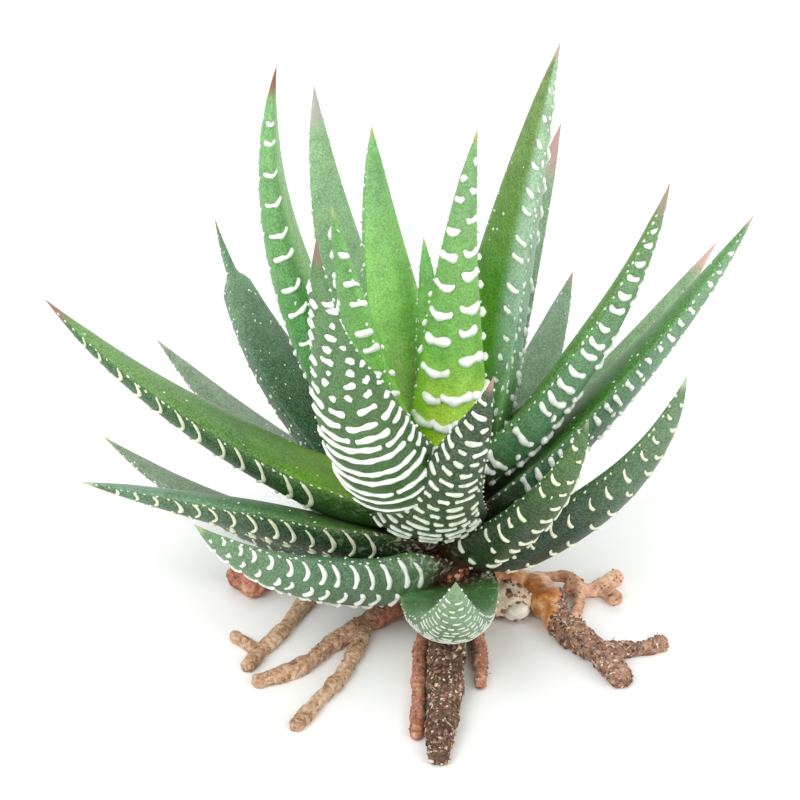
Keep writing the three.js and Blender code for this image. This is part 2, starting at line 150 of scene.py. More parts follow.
def add_node(
    tree: NodeTree,
    kind: str,
    sockets: dict[str | int, object] | None = None,
    output: str = "",
    stops: Iterable[tuple[float, str]] = (),
    **settings: object,
) -> NodeSocket | None:
    """Adds a shader node with its settings and links.

    Args:
        tree: The node tree.
        kind: The node's type name, without ShaderNode at its start.
        sockets: For each input, a value or the output socket that feeds it.
        output: The name of the output to use, or nothing for the first one.
        stops: Place and hex colour of each stop, for a node with a colour ramp.
        settings: Values for the node's own properties.

    Returns:
        The output socket, or None for a node without outputs.
    """
    node = tree.nodes.new(f"ShaderNode{kind}")
    for name, value in settings.items():
        setattr(node, name, value)
    for key, value in (sockets or {}).items():
        named = [socket for socket in node.inputs if socket.name == key and socket.enabled]
        socket = named[0] if named else node.inputs[key]
        if isinstance(value, NodeSocket):
            tree.links.new(value, socket)
        else:
            socket.default_value = value
    for index, (place, code) in enumerate(stops):
        elements = node.color_ramp.elements
        element = elements[index] if index < 2 else elements.new(place)
        element.position = place
        element.color = linear(code)
    return next((socket for socket in node.outputs if socket.enabled and output in ("", socket.name)), None)


def new_material(name: str) -> tuple[Material, NodeTree]:
    """Makes an empty node material and returns it with its tree."""
    material = bpy.data.materials.new(name)
    material.use_nodes = True
    material.node_tree.nodes.clear()
    return material, material.node_tree


def spans(value: NodeSocket, low: float, high: float, start: float, end: float) -> dict[str, object]:
    """The sockets that turn a value from low to high into one from start to end."""
    return {"Value": value, "From Min": low, "From Max": high, "To Min": start, "To Max": end}


def per_metre(millimetres: float) -> float:
    """The texture scale that gives a pattern a feature of this size on Object coordinates."""
    return 1 / (millimetres * MM)


@dataclass(frozen=True)
class LeafFinish:
    """Skin of a succulent leaf, a living waxy cuticle over water tissue.

    The waxy cuticle gives soft broad highlights, the tissue below lets a little light through, and the fine
    wart-like cells of the skin show as a grain. A pale colour mixed into the skin, most of it on the middle
    of each cell and less of it near the base, is partly waxy bloom and partly painted sheen. Inner and back
    hold three colours each, from base to tip.
    """

    name: str
    inner: str
    back: str
    tip: str
    joint: str = "#3d2813"
    glow: float = 0.12
    # How much of the pale colour goes on the skin: partly waxy bloom, partly painted sheen
    wax_and_sheen: float = 0.14
    glow_depth: float = 1.2

    STOPS = (0.22, 0.32, 0.58, 0.98)
    PATCH_SIZE = 9
    PATCH_SHIFT = 0.24
    # The real cells of 0.15 mm would not show
    CELL_SIZE = 0.36
    MOTTLE_SIZE = 2.6
    FLAKE_SIZE = 1.3
    # The pale colour on the skin, partly waxy bloom and partly painted sheen
    WAX_AND_SHEEN = linear("#d8e4cc")
    FLAKE = linear("#c9d2bd")
    # Two values of a pattern, and what they are turned into
    GRAIN_SHADE = (0.1, 0.75, 1.16, 0.8)
    MOTTLE_SHADE = (0.3, 0.7, 0.86, 1.14)
    # Where the pale mix of waxy bloom and painted sheen lies, along the leaf and on each cell
    WAX_AND_SHEEN_ALONG = (0.1, 0.4, 0.1, 1)
    WAX_AND_SHEEN_ON_CELL = (0.05, 0.6)
    FLAKES = (0.52, 0.68, 0, 1)
    # How the mottling frays the edge of the dry tip
    FRAY = (0.5, -0.34)
    BROWN_GAIN = 1.25

    def material(self) -> Material:
        """Builds the material, which reads the leaf's UV map, its attributes and Object coordinates."""
        material, tree = new_material(self.name)
        place = add_node(tree, "TexCoord", output="Object")
        uv = add_node(tree, "UVMap", uv_map=LeafMesh.UV)
        along = add_node(tree, "SeparateXYZ", {0: uv}, "Y")
        inside, scurf, brown = (
            add_node(tree, "Attribute", output="Fac", attribute_name=name)
            for name in (LeafMesh.INNER, LeafMesh.SCURF, LeafMesh.BROWN)
        )

        # Patches move the change of colour up and down the leaf
        patches = add_node(
            tree, "TexNoise", {"Vector": place, "Scale": per_metre(self.PATCH_SIZE), "Detail": 3}
        )
        shifted = add_node(
            tree, "Math", {0: patches, 1: self.PATCH_SHIFT, 2: along}, operation="MULTIPLY_ADD"
        )
        back, inner = (
            add_node(tree, "ValToRGB", {0: shifted}, stops=zip(self.STOPS, (self.joint, *colours.split())))
            for colours in (self.back, self.inner)
        )
        colour = add_node(tree, "Mix", {"Factor": inside, "A": back, "B": inner}, data_type="RGBA")

        # Grain of skin cells, and mottling
        grain = add_node(
            tree, "TexVoronoi", {"Vector": place, "Scale": per_metre(self.CELL_SIZE), "Smoothness": 0.5},
            feature="SMOOTH_F1",
        )
        mottle = add_node(
            tree, "TexNoise", {"Vector": place, "Scale": per_metre(self.MOTTLE_SIZE), "Detail": 5}
        )
        shade = add_node(tree, "MapRange", spans(grain, *self.GRAIN_SHADE))
        tone = add_node(tree, "MapRange", spans(mottle, *self.MOTTLE_SHADE))
        shade = add_node(tree, "Math", {0: shade, 1: tone}, operation="MULTIPLY")
        colour = add_node(tree, "VectorMath", {0: colour, "Scale": shade}, operation="SCALE")

        # Pale colour on each skin cell, less of it near the base: partly waxy bloom, partly painted sheen
        wax_and_sheen = add_node(tree, "MapRange", spans(grain, *self.WAX_AND_SHEEN_ON_CELL, self.wax_and_sheen, 0))
        rise_to_tip = add_node(tree, "MapRange", spans(along, *self.WAX_AND_SHEEN_ALONG))
        wax_and_sheen = add_node(tree, "Math", {0: wax_and_sheen, 1: rise_to_tip}, operation="MULTIPLY")
        colour = add_node(tree, "Mix", {"Factor": wax_and_sheen, "A": colour, "B": self.WAX_AND_SHEEN}, data_type="RGBA")

        # Flaking skin near the base
        flakes = add_node(
            tree, "TexNoise",
            {"Vector": place, "Scale": per_metre(self.FLAKE_SIZE), "Detail": 6, "Distortion": 1.2},
        )
        flakes = add_node(tree, "MapRange", spans(flakes, *self.FLAKES))
        flakes = add_node(tree, "Math", {0: scurf, 1: flakes}, operation="MULTIPLY")
        colour = add_node(tree, "Mix", {"Factor": flakes, "A": colour, "B": self.FLAKE}, data_type="RGBA")

        # The dry brown tip
        share, less = self.FRAY
        fray = add_node(tree, "Math", {0: mottle, 1: share, 2: less}, operation="MULTIPLY_ADD")
        dry = add_node(
            tree, "Math", {0: brown, 1: self.BROWN_GAIN, 2: fray}, operation="MULTIPLY_ADD", use_clamp=True
        )
        dry = add_node(tree, "Math", {0: dry, 1: brown}, operation="MULTIPLY")
        colour = add_node(tree, "Mix", {"Factor": dry, "A": colour, "B": linear(self.tip)}, data_type="RGBA")

        bump = add_node(tree, "Bump", {"Height": grain, "Strength": 0.35, "Distance": 0.06 * MM}, invert=True)
        bump = add_node(
            tree, "Bump", {"Height": mottle, "Strength": 0.25, "Distance": 0.25 * MM, "Normal": bump}
        )
        shader = add_node(
            tree, "BsdfPrincipled",
            {"Base Color": colour, "Roughness": 0.42, "IOR": 1.42, "Normal": bump,
             "Subsurface Weight": self.glow, "Subsurface Radius": (0.5, 1.0, 0.25),
             "Subsurface Scale": self.glow_depth * MM},
            subsurface_method="RANDOM_WALK",
        )
        add_node(tree, "OutputMaterial", {"Surface": shader})
        return material


@dataclass(frozen=True)
class BarFinish:
    """Tubercle of a haworthia, a wart of air-filled white cells.

    The air in the cells makes it an opaque, slightly glossy white, like porcelain with a waxy top.
    """

    name: str
    body: str
    shade: str

    CLOUD_SIZE = 1.1

    def material(self) -> Material:
        """Builds the material and returns it."""
        material, tree = new_material(self.name)
        place = add_node(tree, "TexCoord", output="Object")
        cloud = add_node(
            tree, "TexNoise", {"Vector": place, "Scale": per_metre(self.CLOUD_SIZE), "Detail": 4}
        )
        colour = add_node(tree, "ValToRGB", {0: cloud}, stops=((0.3, self.shade), (0.56, self.body)))
        bump = add_node(tree, "Bump", {"Height": cloud, "Strength": 0.3, "Distance": 0.12 * MM})
        shader = add_node(
            tree, "BsdfPrincipled",
            {"Base Color": colour, "Roughness": 0.34, "Normal": bump, "Subsurface Weight": 0.2,
             "Subsurface Radius": (1.0, 1.0, 0.8), "Subsurface Scale": 0.5 * MM},
        )
        add_node(tree, "OutputMaterial", {"Surface": shader})
        return material


@dataclass(frozen=True)
class BarkFinish:
    """Skin of a succulent's root, corky and wrinkled, its colour darker in the folds of its wrinkles and
    paler on their ridges.

    It gives the eye a dull, finely mottled brown. A fresh root is smoother and has a soft gloss.
    """

    name: str
    deep: str
    body: str
    light: str
    roughness: float = 0.8
    relief: float = 0.35
    grain: float = 1.1
    coat: float = 0.0

    PATCH_SIZE = 5
    PATCH_SHARE = 0.5
    STOPS = (0.55, 0.74, 0.95)
    PIT_SIZE = 0.9
    PITS = (0.1, 0.22, 0.45, 0)

    def material(self) -> Material:
        """Builds the material and returns it."""
        material, tree = new_material(self.name)
        place = add_node(tree, "TexCoord", output="Object")
        mottle = add_node(
            tree, "TexNoise",
            {"Vector": place, "Scale": per_metre(self.grain), "Detail": 8, "Roughness": 0.68},
        )
        patches = add_node(
            tree, "TexNoise", {"Vector": place, "Scale": per_metre(self.PATCH_SIZE), "Detail": 3}
        )
        blend = add_node(tree, "Math", {0: patches, 1: self.PATCH_SHARE, 2: mottle}, operation="MULTIPLY_ADD")
        # The same noise raises the wrinkles, so the colour is darker in their folds and paler on their ridges
        colour = add_node(
            tree, "ValToRGB", {0: blend}, stops=zip(self.STOPS, (self.deep, self.body, self.light))
        )
        pits = add_node(tree, "TexVoronoi", {"Vector": place, "Scale": per_metre(self.PIT_SIZE)})
        pits = add_node(tree, "MapRange", spans(pits, *self.PITS))
        colour = add_node(
            tree, "Mix", {"Factor": pits, "A": colour, "B": linear(self.deep)}, data_type="RGBA"
        )
        bump = add_node(tree, "Bump", {"Height": mottle, "Strength": 0.7, "Distance": self.relief * MM})
        shader = add_node(
            tree, "BsdfPrincipled",
            {"Base Color": colour, "Roughness": self.roughness, "Normal": bump, "Coat Weight": self.coat,
             "Coat Roughness": 0.3},
        )
        add_node(tree, "OutputMaterial", {"Surface": shader})
        return material


@dataclass(frozen=True)
class FloorFinish:
    """Matt white studio card."""

    name: str = "white_card"

    def material(self) -> Material:
        """Builds the material and returns it."""
        material, tree = new_material(self.name)
        sockets = {"Base Color": linear("#f8f8f8"), "Roughness": 0.9, "Specular IOR Level": 0.1}
        add_node(tree, "OutputMaterial", {"Surface": add_node(tree, "BsdfPrincipled", sockets)})
        return material


class Bark(Enum):
    """The bark and soil finishes of the roots, by the look that each gives."""

    TAN = BarkFinish("root_cork_tan", "#6e4c34", "#c09a79", "#e8cfb6", relief=0.45, grain=0.8)
    ORANGE = BarkFinish("root_skin_orange", "#a87858", "#dcac8a", "#f2d2b8", roughness=0.6, relief=0.2)
    GLOSSY = BarkFinish(
        "root_skin_fresh", "#8e4c1c", "#c67c3e", "#efc294", roughness=0.34, relief=0.12, grain=2.2, coat=0.5
    )
    REDDISH = BarkFinish("root_cork_red", "#703e2e", "#b87a60", "#dcb098")
    SOIL = BarkFinish("soil_dark", "#2e211a", "#5c4537", "#8c6c58", roughness=0.95, relief=0.5, grain=0.8)
    CRUST = BarkFinish("soil_crust", "#5e4334", "#a07c67", "#cdaa94", roughness=0.9, relief=0.45, grain=0.8)
    STEM = BarkFinish("stem_cork", "#2f1d12", "#5a3a24", "#82583a", roughness=0.9)
    CHIP = BarkFinish("bark_chip", "#7c3c22", "#b4643e", "#cf8c64")
    CRUMB = BarkFinish("soil_crumb", "#46342a", "#7e6250", "#a68872", roughness=0.95)
    PALE = BarkFinish("pale_flake", "#b39a80", "#dcc8ae", "#f0e4d0")
    STONE = BarkFinish("limestone_grain", "#c4bca6", "#e2dccb", "#f4f0e6", grain=2.4, relief=0.15)


class BarColour(Enum):
    """The colour of a leaf's bars."""

    WHITE = BarFinish("tubercle_white", "#f2f5ee", "#d8e1d0")
    SOFT = BarFinish("tubercle_soft", "#e4eadb", "#bfcbb4")
    CREAM = BarFinish("tubercle_cream", "#e9ecd2", "#cbd6ac")


# The finishes that come after a piece's own one, from material number 1 on
CRUMB_KINDS = (Bark.CRUMB, Bark.CHIP, Bark.PALE, Bark.SOIL, Bark.CRUST)
CRUST_NUMBER = CRUMB_KINDS.index(Bark.CRUST) + 1
RUST_NUMBER = len(CRUMB_KINDS) + 1

# A young leaf lets much light through, and has less of the pale mix of waxy bloom and painted sheen
LIT = {"glow": 0.5, "wax_and_sheen": 0.1, "glow_depth": 2.5}


class Skin(Enum):
    """The leaf finishes, by where the leaf stands in the rosette."""

    # Painted light: the first colour of the heart's back and of the lime's inner face is lifted well above
    # the leaf's own colour, to make up for the shade that falls on the bases deep in the rosette. The pale
    # joints of the heart, lime and young finishes are partly the bases' own colour and partly lifted the same
    # way.
    HEART = LeafFinish(
        "leaf_heart", "#a4dc3c #7fbe54 #76a868", "#dcff4c #76b64c #78a46c", "#a5876c", "#c0dc60", **LIT
    )
    LIME = LeafFinish(
        "leaf_lime", "#e4ff9c #a0dc74 #82b674", "#8cc452 #70ac58 #70a060", "#a3a57c", "#c0dc60", **LIT
    )
    YOUNG = LeafFinish(
        "leaf_young", "#96d236 #80c04c #76b064", "#90cc34 #76b44a #6ca45c", "#98a274", "#a8c850", **LIT
    )
    TALL = LeafFinish(
        "leaf_tall", "#62a604 #47840f #6f8e4a", "#6ca45c #93b79b #98b892", "#b0a088", glow=0.18, wax_and_sheen=0.09
    )
    BACK_TALL = LeafFinish("leaf_back_tall", "#5c8e34 #84b66a #8ebc80", "#2a6420 #448a3c #7ab06c", "#8f5a48")
    GREY_TALL = LeafFinish("leaf_grey_tall", "#86b27c #88b482 #8eb684", "#68985e #74a06a #7ea674", "#b2aea6")
    FRONT = LeafFinish(
        "leaf_front", "#457f20 #52863a #528046", "#356414 #345a24 #5e8454", "#86705f", wax_and_sheen=0.06
    )
    FRONT_DARK = LeafFinish(
        "leaf_front_dark", "#2c5a18 #3c6a2c #46613c", "#1a3612 #344c2e #2f4629", "#9c8270", wax_and_sheen=0.12
    )
    RIGHT = LeafFinish("leaf_right", "#3a6c1c #447c28 #5f8a44", "#3f7440 #5a8860 #648e58", "#9a8a7a")
    RIGHT_DARK = LeafFinish(
        "leaf_right_dark", "#2f5f10 #44802c #5c9050", "#3c6446 #5a8060 #769e78", "#c8aea0", wax_and_sheen=0.1
    )
    RIGHT_PALE = LeafFinish(
        "leaf_right_pale", "#5d874e #76996a #82a37a", "#4c7440 #678c5b #779a6e", "#cfa79c"
    )
    REAR = LeafFinish("leaf_rear", "#567450 #688664 #82a080", "#4e6c4c #607c5c #789876", "#b0928a")
    LOW_RIGHT = LeafFinish(
        "leaf_low_right", "#214b14 #305c29 #5f8558", "#18301a #27422d #5e7e5a", "#aebd9c", wax_and_sheen=0.1
    )
    LOW_NEAR = LeafFinish(
        "leaf_low_near", "#2a5c12 #346824 #517243", "#1a3212 #284022 #486a36", "#879064", wax_and_sheen=0.1
    )
    # Painted light: the first colour of the inner face is lifted above the leaf's own colour, to make up for
    # the shade on its base.
    LEFT = LeafFinish("leaf_left", "#78ae14 #4c7c2c #6e9a54", "#2a5410 #234e24 #3c683c", "#94766a")
    LEFT_LOW = LeafFinish("leaf_left_low", "#4a7210 #4a7a42 #72967a", "#1b3b16 #244528 #527752", "#b0bf9c")
    LEFT_FRONT = LeafFinish(
        "leaf_left_front", "#36641e #44704a #6f906c", "#567a4c #4e7454 #668a62", "#9fb08a"
    )
    LEFT_GREY = LeafFinish("leaf_left_grey", "#4c6252 #5f755f #7a9174", "#3f5544 #526852 #6c8466", "#9aa58e")
    LEFT_DARK = LeafFinish("leaf_left_dark", "#24462b #345a3b #7a9c7c", "#2c4c2e #3c603f #6c8e6e", "#8c966f")
    END_ON = LeafFinish("leaf_end_on", "#4c8040 #5c885a #70986a", "#98b058 #66836a #74946e", "#7d9068")


@dataclass(frozen=True)
class Bars:
    """The raised bars on a leaf's back, in rows across it. Lengths are in millimetres.

    Rows near the base are cut into dashes of about dash_low, and rows near the tip into dashes of about
    dash_high, with the change between short_from and short_to. Thinning is the share of their thickness
    that they lose on the way, and spread the share by which the gaps grow. First and last are where the
    rows start and end, as shares of the leaf's length. Columns are the stretches across the back that
    have rows, where -1 and 1 are the margins, with the share of a pitch by which each stands higher
    than the first. Arcs is how many of the lowest rows run right across. Hook bends the ends of a bar
    up, slant is how much higher a row ends at the second margin than in the middle of the back, level
    is how much of its sag in the middle is taken out, and a closing below 1 sets the rows near the base
    wider apart than those near the tip. Keep is the share of the dashes that are there, and stray the
    share of a pitch by which they leave their row.
    """

    pitch: float = 3.6
    thick: float = 0.85
    thinning: float = 0.3
    dash_low: float = 5.0
    dash_high: float = 1.4
    gap: float = 0.8
    spread: float = 0.0
    columns: tuple[Triple, ...] = ((-0.9, 0.9, 0.0),)
    arcs: int = 0
    arc_dash: float = 6.0
    short_from: float = 0.0
    short_to: float = 1.0
    first: float = 0.12
    last: float = 0.95
    keep: float = 0.92
    hook: float = 0.0
    slant: float = 0.0
    level: float = 0.0
    closing: float = 1.0
    stray: float = 0.16
    colour: BarColour = BarColour.WHITE


@dataclass(frozen=True)
class Leaf:
    """One leaf, in degrees and millimetres, as in the part's source.

    Azimuth is counted from +X against the clock, lean is how steeply it stands, curl is how much more
    steeply its tip stands than its base, sweep turns the tip sideways, roll turns the leaf about its
    length, and foot is the height of its base on the stem. Spike is the share of its width that the tip
    keeps past spike_span. Bright is the stretch round the leaf that has the inner face's colour, in
    quarter turns, where 0 is the middle of the back, 1 and 3 are the margins and 2 is the middle of the
    face. Flare widens the base towards its first margin, where it clasps its neighbour, and slim thins
    its back. Depth is a share of its width and dry_tip a share of its length. Teeth is the distance from
    tooth to tooth, specks is how many warts its face has, and scurf how much its skin flakes at the base.
    """

    node: str
    azimuth: float
    lean: float
    curl: float
    length: float
    width: float
    foot: float
    skin: Skin
    bars: Bars = Bars()
    sweep: float = 0.0
    roll: float = 0.0
    depth: float = 0.44
    taper: float = TAPER_POWER
    dry_tip: float = 0.06
    teeth: float = 2.0
    specks: int = 14
    scurf: float = 0.3
    spike: float = 1.0
    spike_span: Span = (0.82, 0.86)
    bright: Span = (1.0, 3.0)
    flare: float = 0.0
    slim: float = 0.0


class LeafForm:
    """The skin of a leaf as a function of the share of its length and the angle round its section."""

    def __init__(self, leaf: Leaf) -> None:
        """Follows the leaf's centre line in steps, as the part's source does."""
        self.leaf = leaf
        self.turn = math.radians(leaf.azimuth)
        middles = (np.arange(SPINE_STEPS) + 0.5) / SPINE_STEPS
        steps = self.direction(middles) * (leaf.length / SPINE_STEPS)
        reach = LEAF_START_RADIUS
        start = [[reach * math.cos(self.turn), reach * math.sin(self.turn), leaf.foot]]
        self.spine = np.concatenate([start, start + np.cumsum(steps, axis=0)])

    def direction(self, share: Array) -> Array:
        """The direction in which the leaf grows at each share of its length."""
        leaf = self.leaf
        rise = np.radians(leaf.lean + leaf.curl * (share**CURL_POWER - CURL_CHORD_SHARE))
        turn = self.turn + math.radians(leaf.sweep) * share**SWEEP_POWER
        flat = np.cos(rise)
        return np.stack([flat * np.cos(turn), flat * np.sin(turn), np.sin(rise)], axis=1)

    def centre(self, share: Array) -> Array:
        """The point of the centre line at each share of its length."""
        at = np.linspace(0, 1, SPINE_STEPS + 1)
        return np.stack([np.interp(share, at, self.spine[:, axis]) for axis in range(3)], axis=1)

    def tapered(self, share: Array) -> Array:
        """How much of the leaf's full size is left at each share."""
        narrow = 1 - (1 - self.leaf.spike) * ease(*self.leaf.spike_span, share)
        return (1 - share**self.leaf.taper) * narrow

    def half_width(self, share: Array) -> Array:
        """Half the width at each share."""
        swell = BASE_WIDTH_SHARE + (1 - BASE_WIDTH_SHARE) * ease(0, BASE_WIDTH_END, share)
        return self.leaf.width / 2 * self.tapered(share) * swell

    def back_depth(self, share: Array) -> Array:
        """How far the rounded back stands off the margins at each share."""
        swell = BASE_DEPTH_SHARE + (1 - BASE_DEPTH_SHARE) * ease(0, BASE_DEPTH_END, share)
        slim = 1 - self.leaf.slim * (1 - ease(*SLIM_FADE, share))
        return self.leaf.depth * self.leaf.width * self.tapered(share) * swell * slim

    def point(self, share: Array, angle: Array) -> Array:
        """Points of the skin.

        Args:
            share: Shares of the leaf's length.
            angle: Angles round the section, counted from the middle of the inner face.

        Returns:
            One point a row, in millimetres.
        """
        leaf = self.leaf
        share = np.clip(share, 0, 1)
        edge = POINT_RADIUS + (EDGE_RADIUS - POINT_RADIUS) * (1 - ease(*POINT_SPAN, share))
        half = self.half_width(share) + edge
        flare = 1 + leaf.flare * np.maximum(0, np.sin(angle)) * (1 - ease(*FLARE_FADE, share))
        backward = np.maximum(0, -np.cos(angle))
        sag = BAND_SAG_SHARE * self.half_width(share) * backward / leaf.length
        place = np.maximum(0, share - sag * ease(0, BAND_FIRST, share) * (1 - ease(BAND_LAST, 1, share)))
        along = self.direction(place)
        level = np.array([math.sin(self.turn), -math.cos(self.turn), 0])
        across = level - along * (along @ level)[:, None]
        across /= np.linalg.norm(across, axis=1)[:, None]
        face = np.cross(across, along)
        turn = (math.radians(leaf.roll) * ease(0, ROLL_END, place))[:, None]
        side = across * np.cos(turn) + face * np.sin(turn)
        out = face * np.cos(turn) - across * np.sin(turn)
        back = self.back_depth(share) + edge
        front = 2 * FRONT_RISE_SHARE * half * ease(*FRONT_RISE_SPAN, share) + edge
        cup = BASE_CUP_SHARE * leaf.width * np.sin(angle) ** 2 * (1 - ease(0, BASE_CUP_END, share))
        outward = np.where(np.cos(angle) > 0, np.cos(angle) * front, np.cos(angle) * back) + cup
        return self.centre(place) + side * (np.sin(angle) * half * flare)[:, None] + out * outward[:, None]

    def normal(self, share: Array, angle: Array) -> Array:
        """The outward direction at each point of the skin."""
        share = np.clip(share, 0.01, 0.985)
        round_it = self.point(share, angle + NORMAL_STEP) - self.point(share, angle - NORMAL_STEP)
        up_it = self.point(share + NORMAL_STEP, angle) - self.point(share - NORMAL_STEP, angle)
        cross = np.cross(up_it, round_it)
        outward = self.point(share, angle) - self.centre(share)
        cross *= np.sign((cross * outward).sum(axis=1))[:, None]
        return cross / np.linalg.norm(cross, axis=1)[:, None]

    def row_length(self, share: float, low: float, high: float) -> float:
        """The length of the skin across the back between two places, where -1 and 1 are the margins."""
        places = np.linspace(low, high, ROW_STEPS)
        points = self.point(np.full(ROW_STEPS, share), HALF_TURN + places * QUARTER_TURN)
        return float(np.linalg.norm(np.diff(points, axis=0), axis=1).sum())


@cache
def dress(finish: Enum) -> Material:
    """The material of a finish, made once."""
    return finish.value.material()


def move(verts: Iterable[BMVert], points: Array) -> None:
    """Puts each vertex at its point."""
    for vert, point in zip(verts, points):
        vert.co = point


def coordinates(verts: Iterable[BMVert | MeshVertex]) -> Array:
    """The coordinates of vertices, one a row."""
    return np.array([vert.co for vert in verts])


def smooth(bm: BMesh) -> None:
    """Shades every face of a mesh smooth."""
    for face in bm.faces:
        face.smooth = True


def to_mesh(bm: BMesh, name: str) -> Mesh:
    """Turns a bmesh, which is freed, into a mesh."""
    mesh = bpy.data.meshes.new(name)
    bm.to_mesh(mesh)
    bm.free()
    return mesh


def put_in_scene(name: str, data: bpy.types.ID) -> Object:
    """Makes an object of a mesh, a camera or a light, and puts it in the scene."""
    item = bpy.data.objects.new(name, data)
    bpy.context.scene.collection.objects.link(item)
    return item


def pattern(name: str, make: Callable[..., dict], **settings: int) -> Mesh:
    """A small mesh of radius 1, made once, that is copied many times."""
    if name not in bpy.data.meshes:
        bm = bmesh.new()
        make(bm, radius=1, **settings)
        to_mesh(bm, name)
    return bpy.data.meshes[name]


def add_copies(bm: BMesh, shape: Mesh, points: Array, numbers: Sequence[int]) -> None:
    """Adds copies of a small mesh to a mesh.

    Args:
        bm: The mesh that gets them.
        shape: The mesh to copy.
        points: The place of each vertex, one copy after the other.
        numbers: The material number of each copy.
    """
    copies = bmesh.new()
    for _ in numbers:
        copies.from_mesh(shape)
    move(copies.verts, points)
    for index, face in enumerate(copies.faces):
        face.material_index = int(numbers[index // len(shape.polygons)])
    mesh = to_mesh(copies, "copies")
    bm.from_mesh(mesh)
    bpy.data.meshes.remove(mesh)


def finish_piece(bm: BMesh, node: str, kind: str, finishes: Iterable[Enum]) -> None:
    """Turns a finished bmesh in millimetres into a piece that stands for a CAD node.

    Args:
        bm: The mesh, which is freed.
        node: The CAD node that it stands for.
        kind: The end of the piece's name.
        finishes: Its finishes, in the order of its material numbers.
    """
    bmesh.ops.recalc_face_normals(bm, faces=bm.faces)
    bmesh.ops.scale(bm, vec=(MM, MM, MM), verts=bm.verts)
    piece = put_in_scene(f"{node}_{kind}", to_mesh(bm, f"{node}_{kind}"))
    for finish in finishes:
        piece.data.materials.append(dress(finish))
    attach(piece, "root")
    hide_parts(node)
    LOG.info("%s stands for %s: %d faces", piece.name, node, len(piece.data.polygons))


class Bar(NamedTuple):
    """A rounded bar on a leaf, or the columns of many bars. Lengths are in millimetres.

    Share is the share of the leaf's length where it lies, low and high are its ends across the back,
    where -1 and 1 are the margins, and thick is its width along the leaf. Swell and wave are where the
    rows of its swellings and waves start.
    """

    share: Numbers
    low: Numbers
    high: Numbers
    thick: Numbers
    length: Numbers
    swell: Numbers
    wave: Numbers


